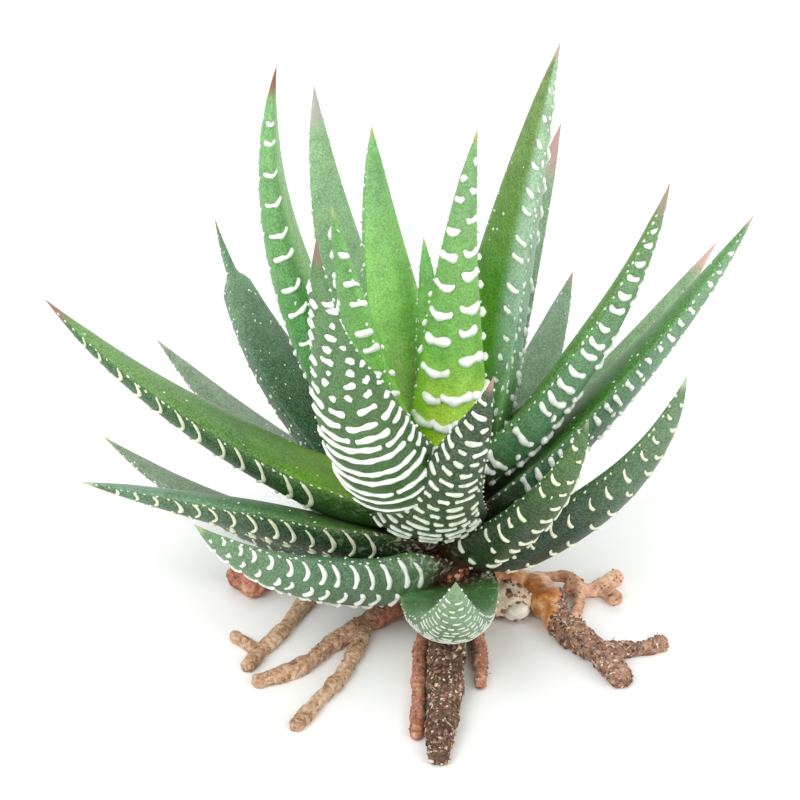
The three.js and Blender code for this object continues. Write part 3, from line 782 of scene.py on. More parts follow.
class LeafMesh:
    """Builds the mesh of one leaf: its body, its bars, the teeth on its margins and its specks."""

    UV = "along_and_round"
    INNER = "inner_face"
    BROWN = "dry_tip"
    SCURF = "scurf"

    # Shares of a leaf's length, and of its width
    SCURF_FADE = (0.06, 0.42)
    MARGIN_FADE = (0.55, 1.0)
    SCURF_OFF_MARGIN = 0.4
    BROWN_FADE = 0.35
    TEETH_SPAN = (0.1, 0.97)
    SPECK_SPAN = (0.2, 0.93)
    # Millimetres
    TOOTH_SIZES = (0.45, 0.75)
    SPECK_SIZES = (0.25, 0.5)
    WAVE_LENGTH = 1.6
    # From this length on a bar has its full hook and more than one swelling
    LONG = 3
    # How much single dashes, teeth and gaps may differ from the usual one
    DASH_RANGE = (0.65, 1.4)
    THICK_RANGE = (0.85, 1.15)
    GAP_RANGE = (0.6, 1.5)
    TOOTH_GAP_RANGE = (0.6, 1.4)
    TEETH_KEPT = 0.9
    TOOTH_INSET = 0.06
    SPECK_REACH = 0.9
    # Shares of a bar's thickness
    SWELL = 0.2
    WAVE = 0.1
    FLATNESS = 0.8
    LIFT = 0.1
    # Turns of the swelling along a short bar, in radians
    SWELL_PACE = 3.1

    def __init__(self, leaf: Leaf, seed: int) -> None:
        """Prepares the leaf's form and its own row of random draws."""
        self.leaf = leaf
        self.form = LeafForm(leaf)
        self.rng = random.Random(seed)
        self.bars: dict[int, list[Bar]] = {rings: [] for rings in BAR_RINGS}
        self.bm = bmesh.new()
        self.uv = self.bm.loops.layers.uv.new(self.UV)
        new_layer = self.bm.verts.layers.float.new
        self.inner, self.brown, self.flaky = map(new_layer, (self.INNER, self.BROWN, self.SCURF))

    def build(self) -> BMesh:
        """Builds every part of the leaf and returns the mesh in millimetres."""
        self.add_body()
        self.add_rows()
        for margin in (-1.0, 1.0):
            self.add_teeth(margin)
        self.add_specks()
        self.place_bars()
        smooth(self.bm)
        return self.bm

    def add_body(self) -> None:
        """Rolls a flat grid into the leaf and closes its seam and both ends."""
        bm, leaf = self.bm, self.leaf
        bmesh.ops.create_grid(bm, x_segments=LEAF_SIDES, y_segments=LEAF_RINGS, size=0.5)
        for face in bm.faces:
            for loop in face.loops:
                loop[self.uv].uv = (loop.vert.co.x + 0.5, loop.vert.co.y + 0.5)
        verts = list(bm.verts)
        flat = coordinates(verts)
        angle = (flat[:, 0] + 0.5) * FULL_TURN
        share = flat[:, 1] + 0.5
        points = self.form.point(share, angle)
        closed = (share < TINY) | (share > 1 - TINY)
        points[closed] = self.form.centre(share[closed])
        move(verts, points)
        low, high = leaf.bright
        off_middle = np.abs((angle / QUARTER_TURN - (low + high) / 2) % 4 - 2)
        half = (high - low) / 2
        near_margin = ease(*self.MARGIN_FADE, np.abs(np.sin(angle)))
        off_margin = self.SCURF_OFF_MARGIN + (1 - self.SCURF_OFF_MARGIN) * near_margin
        values = {
            self.inner: 1 - ease(half - BRIGHT_EDGE, half + BRIGHT_EDGE, off_middle),
            self.brown: ease(1 - leaf.dry_tip, 1 - self.BROWN_FADE * leaf.dry_tip, share),
            self.flaky: leaf.scurf * (1 - ease(*self.SCURF_FADE, share)) * off_margin,
        }
        for layer, column in values.items():
            for vert, value in zip(verts, column):
                vert[layer] = value
        bmesh.ops.remove_doubles(bm, verts=bm.verts, dist=MERGE)

    def add_bar(self, share: float, low: float, high: float, thick: float, length: float) -> None:
        """Notes a bar, to be placed with the others, and draws where its swellings and waves start."""
        rings = next(n for n in BAR_RINGS if length < RING_LENGTH * n or n == BAR_RINGS[-1])
        swell, wave = self.rng.uniform(0, 6), self.rng.uniform(0, 6)
        self.bars[rings].append(Bar(share, low, high, thick, length, swell, wave))

    def add_dot(self, share: float, middle: float, size: float) -> None:
        """Notes a bar as long as it is wide."""
        reach = size / max(1.0, self.form.row_length(share, -1, 1))
        self.add_bar(share, middle - reach, middle + reach, size, size)

    def place_bars(self) -> None:
        """Adds a copy of a small ball for each noted bar, and draws each out along the skin."""
        for rings, bars in self.bars.items():
            if not bars:
                continue
            ball = pattern(f"ball_{rings}", bmesh.ops.create_uvsphere, u_segments=BAR_SIDES, v_segments=rings)
            corners = np.tile(coordinates(ball.vertices), (len(bars), 1))
            columns = Bar(*np.repeat(np.array(bars), len(ball.vertices), axis=0).T)
            add_copies(self.bm, ball, self.bar_points(corners, columns), [BAR_NUMBER] * len(bars))

    def bar_points(self, ball: Array, columns: Bar) -> Array:
        """Draws the points of unit balls out into bars.

        Args:
            ball: The points, one a row.
            columns: The bar of each point.

        Returns:
            The points on the skin, one a row, in millimetres.
        """
        leaf, bars, form = self.leaf, self.leaf.bars, self.form
        share, low, high, thick, length, swell_start, wave_start = columns
        rim = np.hypot(ball[:, 0], ball[:, 1])
        rim[rim < TINY] = 1
        cap = np.minimum(1, thick / length)
        even = np.arcsin(np.clip(ball[:, 2], -1, 1)) / QUARTER_TURN
        beyond = np.maximum(0, np.abs(even) - CAP_START) / (1 - CAP_START)
        middle = np.clip(even / CAP_START, -1, 1) * (1 - cap)
        t = middle + np.sign(ball[:, 2]) * cap * beyond
        blunt = np.sqrt(np.maximum(0, 1 - beyond**2))
        swell = 1 + self.SWELL * np.sin(t * self.SWELL_PACE * np.maximum(1, length / self.LONG) + swell_start)
        wide = blunt * swell * thick / 2
        angle = HALF_TURN + ((low + high) / 2 + t * (high - low) / 2) * QUARTER_TURN
        wave = self.WAVE * thick * np.sin(t * np.maximum(2, length / self.WAVE_LENGTH) + wave_start)
        rise = bars.hook * t**2 * np.minimum(1, length / self.LONG) + wave
        slant = bars.slant * (angle / QUARTER_TURN - 2)
        sag = bars.level * BAND_SAG_SHARE * form.half_width(share) * np.maximum(0, -np.cos(angle))
        level = share + (rise + slant + sag + ball[:, 0] / rim * wide) / leaf.length
        height = ball[:, 1] / rim * wide * self.FLATNESS + self.LIFT * thick * blunt
        return form.point(level, angle) + form.normal(level, angle) * height[:, None]

    def add_rows(self) -> None:
        """Adds the rows of bars, each cut into dashes that grow shorter towards the tip."""
        bars = self.leaf.bars
        count = max(2, round((bars.last - bars.first) * self.leaf.length / bars.pitch))
        for row in range(count):
            if row < bars.arcs:
                self.add_row(row / count, ARC_COLUMN, bars.arc_dash, ARC_GAP)
                continue
            for low, high, stagger in bars.columns:
                tipward = (row + stagger) / count
                shorter = ease(bars.short_from, bars.short_to, tipward)
                dash = bars.dash_low ** (1 - shorter) * bars.dash_high**shorter
                self.add_row(tipward, (low, high), dash, bars.gap * (1 + bars.spread * shorter))

    def add_row(self, tipward: float, column: Span, dash: float, gap: float) -> None:
        """Adds one row of bars.

        Args:
            tipward: Where the row lies, from 0 for the first row to 1 for the last.
            column: The stretch across the back that it covers.
            dash: The usual length of a dash.
            gap: The usual gap between dashes.
        """
        leaf, bars, rng = self.leaf, self.leaf.bars, self.rng
        share = bars.first + (bars.last - bars.first) * tipward**bars.closing
        low, high = column
        span = self.form.row_length(share, low, high)
        thick = bars.thick * (1 - bars.thinning * tipward)
        smallest = SMALLEST_DASH * thick
        at = rng.uniform(0, 0.5) * max(0.0, min(dash, span - dash))
        while at < span - smallest:
            length = min(dash * rng.uniform(*self.DASH_RANGE), span - at)
            if rng.random() < bars.keep and length > smallest:
                start = low + (high - low) * at / span
                end = low + (high - low) * (at + length) / span
                place = share + rng.uniform(-1, 1) * bars.stray * bars.pitch / leaf.length
                self.add_bar(place, start, end, thick * rng.uniform(*self.THICK_RANGE), max(length, thick))
            at += length + gap * rng.uniform(*self.GAP_RANGE)

    def add_teeth(self, margin: float) -> None:
        """Adds the row of small white teeth on one margin."""
        leaf, rng = self.leaf, self.rng
        at, end = self.TEETH_SPAN
        while at < end:
            size = rng.uniform(*self.TOOTH_SIZES) * min(1, 0.55 + leaf.width / 40)
            middle = margin * (1 - rng.uniform(0.0, self.TOOTH_INSET))
            if rng.random() < self.TEETH_KEPT:
                self.add_dot(at, middle, size)
            at += leaf.teeth * rng.uniform(*self.TOOTH_GAP_RANGE) / leaf.length

    def add_specks(self) -> None:
        """Strews small pale warts over the inner face, most of them near its margins."""
        rng = self.rng
        for _ in range(self.leaf.specks):
            at = rng.uniform(*self.SPECK_SPAN)
            size = rng.uniform(*self.SPECK_SIZES)
            self.add_dot(at, 2 + rng.choice((-1, 1)) * rng.random() ** 0.6 * self.SPECK_REACH, size)


@dataclass(frozen=True)
class Rosette:
    """The leaves of the plant, from the youngest to the oldest."""

    leaves: Sequence[Leaf]

    def build(self) -> None:
        """Builds each leaf in place of its CAD node."""
        for index, leaf in enumerate(self.leaves):
            bm = LeafMesh(leaf, LEAF_SEED + index).build()
            finish_piece(bm, leaf.node, "skin", (leaf.skin, leaf.bars.colour))


LEAVES = (
    Leaf("leaf_01", 109, 75, 0, 45, 8, 25, Skin.YOUNG, Bars(pitch=3, dash_low=2, dash_high=0.8, thick=0.7)),
    Leaf("leaf_02", 196, 72, 12, 61.5, 15, 24, Skin.YOUNG,
         Bars(pitch=4.2, dash_low=5.5, dash_high=2.4, thick=1.5, slant=-2.0, keep=0.95,
              columns=((-0.95, -0.1, 0.4), (0.0, 0.2, 0.0), (0.5, 1.4, 0.1))),
         teeth=2.6),
    Leaf("leaf_03", 276, 83.5, -7, 72.5, 15.5, 25, Skin.HEART,
         Bars(pitch=5.1, thick=1.75, dash_low=5.6, dash_high=4.0, gap=0.9, keep=1.0, hook=0.5, level=0.9,
              arcs=2, arc_dash=5.5, first=0.235,
              columns=((-1.02, -0.9, 0.5), (-0.82, -0.1, 0.1), (0.04, 0.72, 0.5), (0.8, 1.2, 0.0))),
         sweep=60, taper=1.15, teeth=3.4),
    Leaf("leaf_04", 127, 72, 24, 67, 15, 24, Skin.LIME, Bars(pitch=4.4, dash_low=4), teeth=3.6),
    Leaf("leaf_05", 243, 63, 50, 78, 20.5, 19.5, Skin.FRONT,
         Bars(pitch=2.35, thick=0.78, thinning=-0.62, dash_low=16, dash_high=1.7, gap=0.6, spread=1.6,
              columns=((-0.96, 0.96, 0.0),), keep=0.98, short_from=0.22, short_to=0.62, first=0.34, last=0.9,
              slant=-2.0, level=0.4, closing=0.86),
         sweep=-65, roll=-26, dry_tip=0.09, slim=0.75, spike=0.62, spike_span=(0.58, 0.82)),
    Leaf("leaf_06", 54, 68, -12, 84, 17, 21, Skin.TALL,
         Bars(pitch=4.2, dash_low=1.2, dash_high=4.2, thick=1.35, hook=0.3, first=0.2, last=0.9, slant=-2.5,
              keep=0.95, short_from=0.12, short_to=0.4,
              columns=((-1.62, -1.18, 0.0), (-1.1, -0.98, 0.4), (-0.86, -0.1, 0.1), (0.02, 0.92, 0.5))),
         roll=14, specks=40, bright=(1.0, 2.38)),
    Leaf("leaf_07", 161, 70, 50, 88, 17, 21, Skin.BACK_TALL,
         Bars(pitch=5.0, thick=1.1, dash_low=9, dash_high=4, hook=1.0, keep=1.0,
              columns=((-0.92, 0.2, 0.5), (0.34, 0.5, 0.1), (0.7, 1.56, 0.0))),
         roll=-8, dry_tip=0.09, teeth=50, specks=6, bright=(1.62, 3.0)),
    Leaf("leaf_08", 122, 57, 48, 82, 15, 20, Skin.GREY_TALL, Bars(pitch=4.4), dry_tip=0.14, teeth=3),
    Leaf("leaf_09", 0, 58.5, 26, 68, 16.5, 26.5, Skin.RIGHT,
         Bars(pitch=2.95, thick=1.38, dash_low=6.0, dash_high=2.8, hook=0.3, slant=2.2, keep=0.97,
              columns=((-0.93, -0.4, 0.0), (-0.26, 0.12, 0.45), (0.25, 0.94, 0.1))),
         roll=20, depth=0.38, dry_tip=0.13, bright=(1.0, 3.04)),
    Leaf("leaf_10", 261, 57, 34, 53.5, 16.5, 17, Skin.FRONT_DARK,
         Bars(pitch=2.15, thick=0.9, thinning=0.28, dash_low=3.0, dash_high=2.4, gap=0.7, stray=0.06,
              keep=0.98, first=0.27, closing=0.92, columns=((-0.97, 0.7, 0.0),), colour=BarColour.SOFT),
         sweep=105, roll=-10, depth=0.36, dry_tip=0.08, teeth=2.2, flare=0.5, slim=0.35,
         spike=0.72, spike_span=(0.78, 0.94)),
    Leaf("leaf_11", 68.5, 44, -8, 81, 12, 16, Skin.REAR, dry_tip=0.22),
    Leaf("leaf_12", 8, 48, 16, 77, 15, 18, Skin.RIGHT_DARK,
         Bars(pitch=2.8, dash_low=3.6, dash_high=2.0, thick=1.1, first=0.2, gap=0.7, slant=1.8,
              columns=((-0.98, -0.6, 0.0), (-0.5, 0.0, 0.4), (0.12, 0.94, 0.1))),
         roll=12, specks=30, dry_tip=0.05),
    Leaf("leaf_13", 142, 42.5, 53, 73, 13.5, 15.5, Skin.LEFT_DARK, Bars(dash_low=2.5, thick=0.6),
         taper=3, specks=60, spike=0.3),
    Leaf("leaf_14", 100, 33, 10, 60, 13, 13, Skin.REAR),
    Leaf("leaf_15", 313, 51.5, 38, 52, 11.5, 12.5, Skin.LOW_NEAR,
         Bars(dash_low=4.0, dash_high=1.8, hook=0.4, gap=0.9, colour=BarColour.CREAM,
              columns=((-0.9, -0.25, 0.0), (-0.1, 0.3, 0.4), (0.42, 0.94, 0.0)), first=0.22), roll=25),
    Leaf("leaf_16", 173, 29.5, 27, 80.5, 16, 19, Skin.LEFT,
         Bars(pitch=4.1, dash_low=9, dash_high=5, hook=1.2, first=0.3, last=0.93, keep=1.0, thick=0.9,
              columns=((-0.94, -0.5, 0.4), (-0.4, 0.1, 0.1), (0.28, 0.36, 0.5), (0.44, 0.97, 0.0)),
              colour=BarColour.CREAM),
         roll=-8, dry_tip=0.1, teeth=1.8),
    Leaf("leaf_17", 37, 35, 12, 75, 11, 13, Skin.RIGHT_PALE, dry_tip=0.14),
    Leaf("leaf_18", 343, 46, 52, 60, 16, 12.5, Skin.LOW_RIGHT,
         Bars(pitch=4.2, dash_low=3.4, dash_high=2.6, hook=0.5, thick=0.8, keep=0.95, gap=1.0,
              columns=((-0.82, -0.42, 0.0), (-0.3, 0.1, 0.45), (0.22, 0.9, 0.1)),
              colour=BarColour.CREAM), roll=28),
    Leaf("leaf_19", 66, 27, 22, 68, 15, 10.5, Skin.REAR),
    Leaf("leaf_20", 186, 14.5, -2, 65, 14.5, 14, Skin.LEFT_LOW,
         Bars(pitch=3.4, dash_low=6, dash_high=3, hook=1.0, first=0.22, keep=1.0,
              columns=((-0.94, -0.05, 0.6), (0.05, 0.4, 0.3), (0.46, 0.97, 0.0)), colour=BarColour.CREAM),
         roll=-20, scurf=0.9, teeth=1.6),
    Leaf("leaf_21", 214, 25.5, 42, 56.5, 16, 11, Skin.LEFT_FRONT,
         Bars(pitch=3.2, dash_low=8, dash_high=4, thick=1.0, hook=0.6, keep=1.0, first=0.2,
              columns=((-0.94, -0.1, 0.1), (0.02, 0.36, 0.5), (0.46, 0.93, 0.0))),
         roll=-40, scurf=1.0),
    Leaf("leaf_22", 116, 20, 15, 64, 13, 9, Skin.REAR),
    Leaf("leaf_23", 139, 16, 20, 75, 13.5, 10, Skin.LEFT_GREY),
    Leaf("leaf_24", 88, 14, 15, 60, 13, 8, Skin.REAR),
    Leaf("leaf_25", 154, 8, 34, 72, 12, 8.5, Skin.LEFT_GREY),
    Leaf("leaf_26", 271, 30, 62, 48, 18, 8.5, Skin.END_ON,
         Bars(pitch=1.75, dash_low=4, dash_high=1.2, gap=0.4, thick=0.46, colour=BarColour.SOFT),
         depth=0.38, scurf=1.0),
)

@dataclass(frozen=True)
class Root:
    """A root with its branches, in millimetres.

    Each path runs outwards as x, y, radius and lift, where lift is the height of the underside over the
    floor. Lobes are round swellings, as x, y, z and radius. Wrinkle is the height of its folds, and
    crumbs is how many crumbs cling to it. Nearer the stem than bare_reach it has no soil, and nearer
    than rusty_reach its bark is red-brown.
    """

    node: str
    slot: str
    paths: tuple[tuple[Quad, ...], ...]
    bark: Bark
    lobes: tuple[Quad, ...] = ()
    wrinkle: float = 0.2
    crumbs: int = 40
    bare_reach: float = 0.0
    rusty_reach: float = 0.0

    def crusted(self, place: Vector, low: float = 0.0) -> float:
        """How much soil clings at a place: low on the bare stretch next to the stem, rising to 1 past it."""
        if not self.bare_reach:
            return 1.0
        distance = math.hypot(place.x, place.y)
        return low + (1 - low) * float(ease(self.bare_reach, self.bare_reach + CRUST_FADE, distance))


ROOTS = (
    Root("root_front", "crusted_root", (
        ((0, -4, 2.8, 1.4), (0, -10, 3.0, 0.4), (-0.2, -20, 3.0, 0), (-0.8, -32, 2.8, 0), (-1.5, -41, 2.4, 0),
         (-2, -47.5, 2.0, 0)),
    ), Bark.SOIL, wrinkle=0.4, crumbs=2300),
    Root("root_front_thin", "bare_root", (
        ((-2.6, -5, 1.3, 1.3), (-4, -12, 1.3, 0.3), (-4.9, -17, 1.3, 0), (-5.2, -31, 1.3, 0),
         (-5.6, -41, 1.2, 0)),
    ), Bark.REDDISH, wrinkle=0.18, crumbs=150),
    Root("root_front_stub", "crusted_root", (
        ((4.2, -3, 1.5, 1.6), (5.2, -10, 1.4, 0.6), (5.7, -18, 1.3, 0), (5.6, -26, 1.15, 0)),
    ), Bark.REDDISH, wrinkle=0.25, crumbs=160),
    Root("root_left_near", "bare_root", (
        ((-3, -1, 2.4, 1.8), (-7.5, -2.5, 2.2, 1.4), (-11, -5, 2.0, 0.7), (-15.5, -8.2, 1.8, 0.1),
         (-20, -13, 1.6, 0), (-24.1, -19, 1.55, 0), (-28.5, -23, 1.55, 0), (-33, -25.2, 1.45, 0)),
        ((-14.3, -7.4, 1.4, 0.4), (-15.6, -12.9, 1.4, 0.1), (-18.4, -23, 1.35, 0), (-22.6, -31.5, 1.35, 0),
         (-26, -38.4, 1.3, 0)),
    ), Bark.TAN, crumbs=90, rusty_reach=15.0),
    Root("root_left_far", "bare_root", (
        ((-4, 1, 1.8, 2.4), (-12, 5.5, 1.7, 1.1), (-21, 5.2, 1.55, 0.1), (-25.6, 0, 1.4, 0),
         (-29.4, -9, 1.35, 0), (-32.7, -15.4, 1.35, 0), (-35, -20.4, 1.4, 0)),
        ((-34, -14.6, 1.1, 0.1), (-36.8, -11.8, 1.1, 0), (-38, -10.4, 1.15, 0)),
    ), Bark.TAN, crumbs=60),
    Root("root_back_left", "crusted_root", (
        ((-3, 4, 2.0, 2.2), (-13, 10.5, 1.9, 0.8), (-24, 11, 2.0, 0.2), (-31, 8.4, 2.4, 0),
         (-36.4, 5.8, 2.7, 0)),
    ), Bark.REDDISH, lobes=((-38.0, 7.0, 2.3, 2.2), (-35.3, 4.3, 2.2, 2.3)), wrinkle=0.35, crumbs=140),
    Root("root_right", "crusted_root", (
        ((5, 1, 2.6, 1.8), (10.8, 2.5, 2.9, 1.2), (15.4, 2.6, 3.1, 0.6), (18.2, -1.8, 3.0, 0.2),
         (19.8, -7.4, 2.7, 0), (23.5, -13.4, 2.45, 0), (27.5, -19.2, 2.2, 0), (30.2, -25, 1.85, 0)),
        ((26, -17, 1.6, 0.3), (30.4, -15.6, 1.5, 0), (34.9, -14.8, 1.4, 0), (38.2, -13.2, 1.35, 0)),
    ), Bark.GLOSSY, wrinkle=0.35, crumbs=1900, bare_reach=18.5),
    Root("root_right_loop", "bare_root", (
        ((14.5, 6.6, 1.15, 1.4), (18.7, 7, 1.15, 1.4), (22.2, 7, 1.15, 1.5), (24.3, 3.9, 1.15, 1.2),
         (24, -1.2, 1.1, 0.5), (22.8, -5, 1.0, 0.1)),
        ((22.6, 4.8, 1.5, 0.4), (26.4, 4, 1.5, 0.1), (29.3, 6.3, 1.5, 0), (31.8, 9.2, 1.45, 0)),
        ((28, 5, 1.4, 0.1), (30.2, 2.8, 1.4, 0), (31, 1.4, 1.35, 0)),
    ), Bark.ORANGE, wrinkle=0.15, crumbs=120),
    Root("root_back_a", "bare_root", (
        ((1, 4, 1.9, 2), (4, 12, 1.7, 0.8), (9, 22, 1.55, 0), (12, 33, 1.35, 0)),
    ), Bark.TAN, crumbs=50),
    Root("root_back_b", "bare_root", (
        ((-1, 4, 1.8, 2), (-6, 13, 1.6, 0.8), (-11, 24, 1.45, 0), (-13, 36, 1.3, 0)),
    ), Bark.TAN, crumbs=50),
)


@dataclass(frozen=True)
class Mix:
    """A mix of angular crumbs of soil and bark.

    Sizes are the smallest and the largest radius in millimetres, and kinds says how many of each kind a
    handful holds. Least and most are how far a crumb may be stretched along its three axes.
    """

    sizes: Span
    kinds: dict[Bark, int]
    least: Triple = (0.5, 0.5, 0.4)
    most: Triple = (1.5, 1.2, 0.9)

    def numbers(self) -> list[int]:
        """The material number of each crumb in a handful."""
        return [CRUMB_KINDS.index(kind) + 1 for kind, count in self.kinds.items() for _ in range(count)]


HEAVY_SOIL = Mix((0.14, 0.36), {Bark.CRUMB: 3, Bark.SOIL: 2, Bark.CRUST: 4, Bark.PALE: 2, Bark.CHIP: 1})
LIGHT_SOIL = Mix((0.12, 0.3), {Bark.CRUMB: 1, Bark.CRUST: 2, Bark.PALE: 1, Bark.CHIP: 1})
SLIVERS = Mix((0.2, 0.36), {Bark.PALE: 2, Bark.CRUMB: 1}, (2.0, 0.25, 0.2), (5.0, 0.45, 0.4))
STEM_SOIL = Mix((0.25, 0.75), {Bark.CRUMB: 2, Bark.CHIP: 3, Bark.PALE: 1, Bark.SOIL: 1})
LUMP_SOIL = Mix((0.25, 0.65), {Bark.CRUMB: 2, Bark.CHIP: 1, Bark.CRUST: 1, Bark.PALE: 1, Bark.SOIL: 1})


class Crumbs:
    """Strews crumbs over a mesh."""

    SIZE_RANGE = (0.7, 1.15)
    # Shares of a crumb's size
    LIFT = 0.25
    FLOOR_GAP = 0.9
    UNEVEN = 0.22

    def __init__(self, bm: BMesh, seed: int) -> None:
        """Keeps the mesh and starts a row of random draws."""
        self.bm = bm
        self.rng = np.random.default_rng(seed)

    def strew(self, count: int, mix: Mix, allowed: Callable[[Vector], bool] = lambda place: True) -> None:
        """Strews crumbs over the faces that the mesh has now, none of them below the floor.

        Args:
            count: How many crumbs.
            mix: Their sizes, kinds and shapes.
            allowed: Says whether a crumb may lie at a place.
        """
        self.bm.normal_update()
        places = [(face.calc_center_median(), face.normal) for face in self.bm.faces]
        sites = np.array([(*middle, *normal) for middle, normal in places if allowed(middle)])
        rng = self.rng
        chosen = sites[rng.integers(0, len(sites), count)]
        size = rng.uniform(*mix.sizes, count) * rng.uniform(*self.SIZE_RANGE, count)
        middles = chosen[:, :3] + chosen[:, 3:] * size[:, None] * self.LIFT
        middles[:, 2] = np.maximum(middles[:, 2], size * self.FLOOR_GAP)
        crumb = pattern("crumb", bmesh.ops.create_icosphere, subdivisions=1)
        corners = coordinates(crumb.vertices)
        shape = corners[None] + rng.uniform(-self.UNEVEN, self.UNEVEN, (count, len(corners), 3))
        shape *= rng.uniform(mix.least, mix.most, (count, 3))[:, None]
        turned = np.einsum("nij,nkj->nki", self.turns(chosen[:, 3:]), shape)
        points = (middles[:, None] + turned * size[:, None, None]).reshape(-1, 3)
        points[:, 2] = np.maximum(points[:, 2], FLOOR_CLEARANCE)
        add_copies(self.bm, crumb, points, rng.choice(mix.numbers(), count))

    def turns(self, normals: Array) -> Array:
        """Rotation matrices that lay each crumb flat on its face, turned at random about the normal."""
        along = np.cross(self.rng.normal(size=normals.shape), normals)
        along /= np.linalg.norm(along, axis=1)[:, None]
        return np.stack([along, np.cross(normals, along), normals], axis=2)


class Tube:
    """A tapering tube with round ends along a path."""

    SIDES = 18
    RING_GAP = 0.8
    STEPS = 12
    HALF_STEP = 0.5

    def __init__(self, path: Sequence[Quad]) -> None:
        """Lays a smooth line through the path's points."""
        rise = math.cos(HALF_TURN / ROOT_SIDES_IN_SOURCE)
        control = np.array([[x, y, lift + radius * rise - FLOOR_BITE, radius] for x, y, radius, lift in path])
        padded = np.concatenate([[2 * control[0] - control[1]], control, [2 * control[-1] - control[-2]]])
        rows = []
        for index in range(len(control) - 1):
            a, b, c, d = padded[index : index + 4]
            square, cube = 2 * a - 5 * b + 4 * c - d, 3 * b - a - 3 * c + d
            for t in np.linspace(0, 1, self.STEPS, endpoint=index == len(control) - 2):
                rows.append(0.5 * (2 * b + (c - a) * t + square * t**2 + cube * t**3))
        self.line = np.array(rows)
        steps = np.linalg.norm(np.diff(self.line[:, :3], axis=0), axis=1)
        self.reach = np.concatenate([[0], np.cumsum(steps)])

    def at(self, distance: Array) -> Array:
        """Place and radius at distances along the line, one a row."""
        return np.stack([np.interp(distance, self.reach, self.line[:, axis]) for axis in range(4)], axis=1)

    def add_to(self, bm: BMesh, seed: int) -> None:
        """Adds the tube to a mesh, as a grid rolled up along the line, with gentle swellings."""
        length = self.reach[-1]
        first, last = self.line[0, 3], self.line[-1, 3]
        rings = max(8, round(length / self.RING_GAP))
        verts = bmesh.ops.create_grid(bm, x_segments=self.SIDES, y_segments=rings, size=0.5)["verts"]
        flat = coordinates(verts)
        turn = (flat[:, 0] + 0.5) * FULL_TURN
        distance = (flat[:, 1] + 0.5) * (length + first + last) - first
        inside = np.clip(distance, 0, length)
        places = self.at(inside)
        ahead = self.at(np.clip(inside + self.HALF_STEP, 0, length))[:, :3]
        tangent = ahead - self.at(np.clip(inside - self.HALF_STEP, 0, length))[:, :3]
        tangent /= np.linalg.norm(tangent, axis=1)[:, None]
        across = np.cross(tangent, [0, 0, 1])
        across /= np.linalg.norm(across, axis=1)[:, None]
        upward = np.cross(across, tangent)
        past = (distance - inside)[:, None]
        cap = np.sqrt(np.clip(1 - (np.abs(past) / places[:, 3:]) ** 2, 0, 1))
        swell = 1 + 0.09 * np.sin(distance * 0.55 + seed) + 0.06 * np.sin(distance * 1.3 + 2 * seed)
        radius = places[:, 3:] * cap * swell[:, None]
        ring = across * np.sin(turn)[:, None] + upward * np.cos(turn)[:, None]
        move(verts, places[:, :3] + tangent * past * 0.8 + ring * radius)
        bmesh.ops.remove_doubles(bm, verts=verts, dist=MERGE)


def welded(bm: BMesh) -> BMesh:
    """Fuses the closed shells of a mesh, which is freed, into a new mesh of one skin with soft joints."""
    bmesh.ops.recalc_face_normals(bm, faces=bm.faces)
    mesh = to_mesh(bm, "weld")
    source = put_in_scene("weld", mesh)
    remesh = source.modifiers.new("weld", "REMESH")
    remesh.mode = "VOXEL"
    remesh.voxel_size = VOXEL
    remesh.use_smooth_shade = True
    fused = bmesh.new()
    fused.from_mesh(source.evaluated_get(bpy.context.evaluated_depsgraph_get()).to_mesh())
    bpy.data.objects.remove(source)
    bpy.data.meshes.remove(mesh)
    axes = {f"use_axis_{axis}": True for axis in "xyz"}
    bmesh.ops.smooth_vert(fused, verts=fused.verts, factor=0.5, **axes)
    return fused


def roughen(bm: BMesh, scale: float, height: Callable[[Vector], float], seed: float) -> None:
    """Pushes each vertex in or out along its normal by smooth noise, and keeps it above the floor.

    Args:
        bm: The mesh.
        scale: The size of the lumps, in millimetres.
        height: The height of the lumps at a place, in millimetres.
        seed: Moves the noise, so that no two pieces are alike.
    """
    bm.normal_update()
    moved = []
    for vert in bm.verts:
        place = vert.co / scale + Vector((seed, seed, seed))
        lump = noise.noise(place) + 0.5 * noise.noise(place * 2.3)
        moved.append(vert.co + vert.normal * lump * height(vert.co))
    for vert, place in zip(bm.verts, moved):
        vert.co = place
        vert.co.z = max(place.z, FLOOR_CLEARANCE)


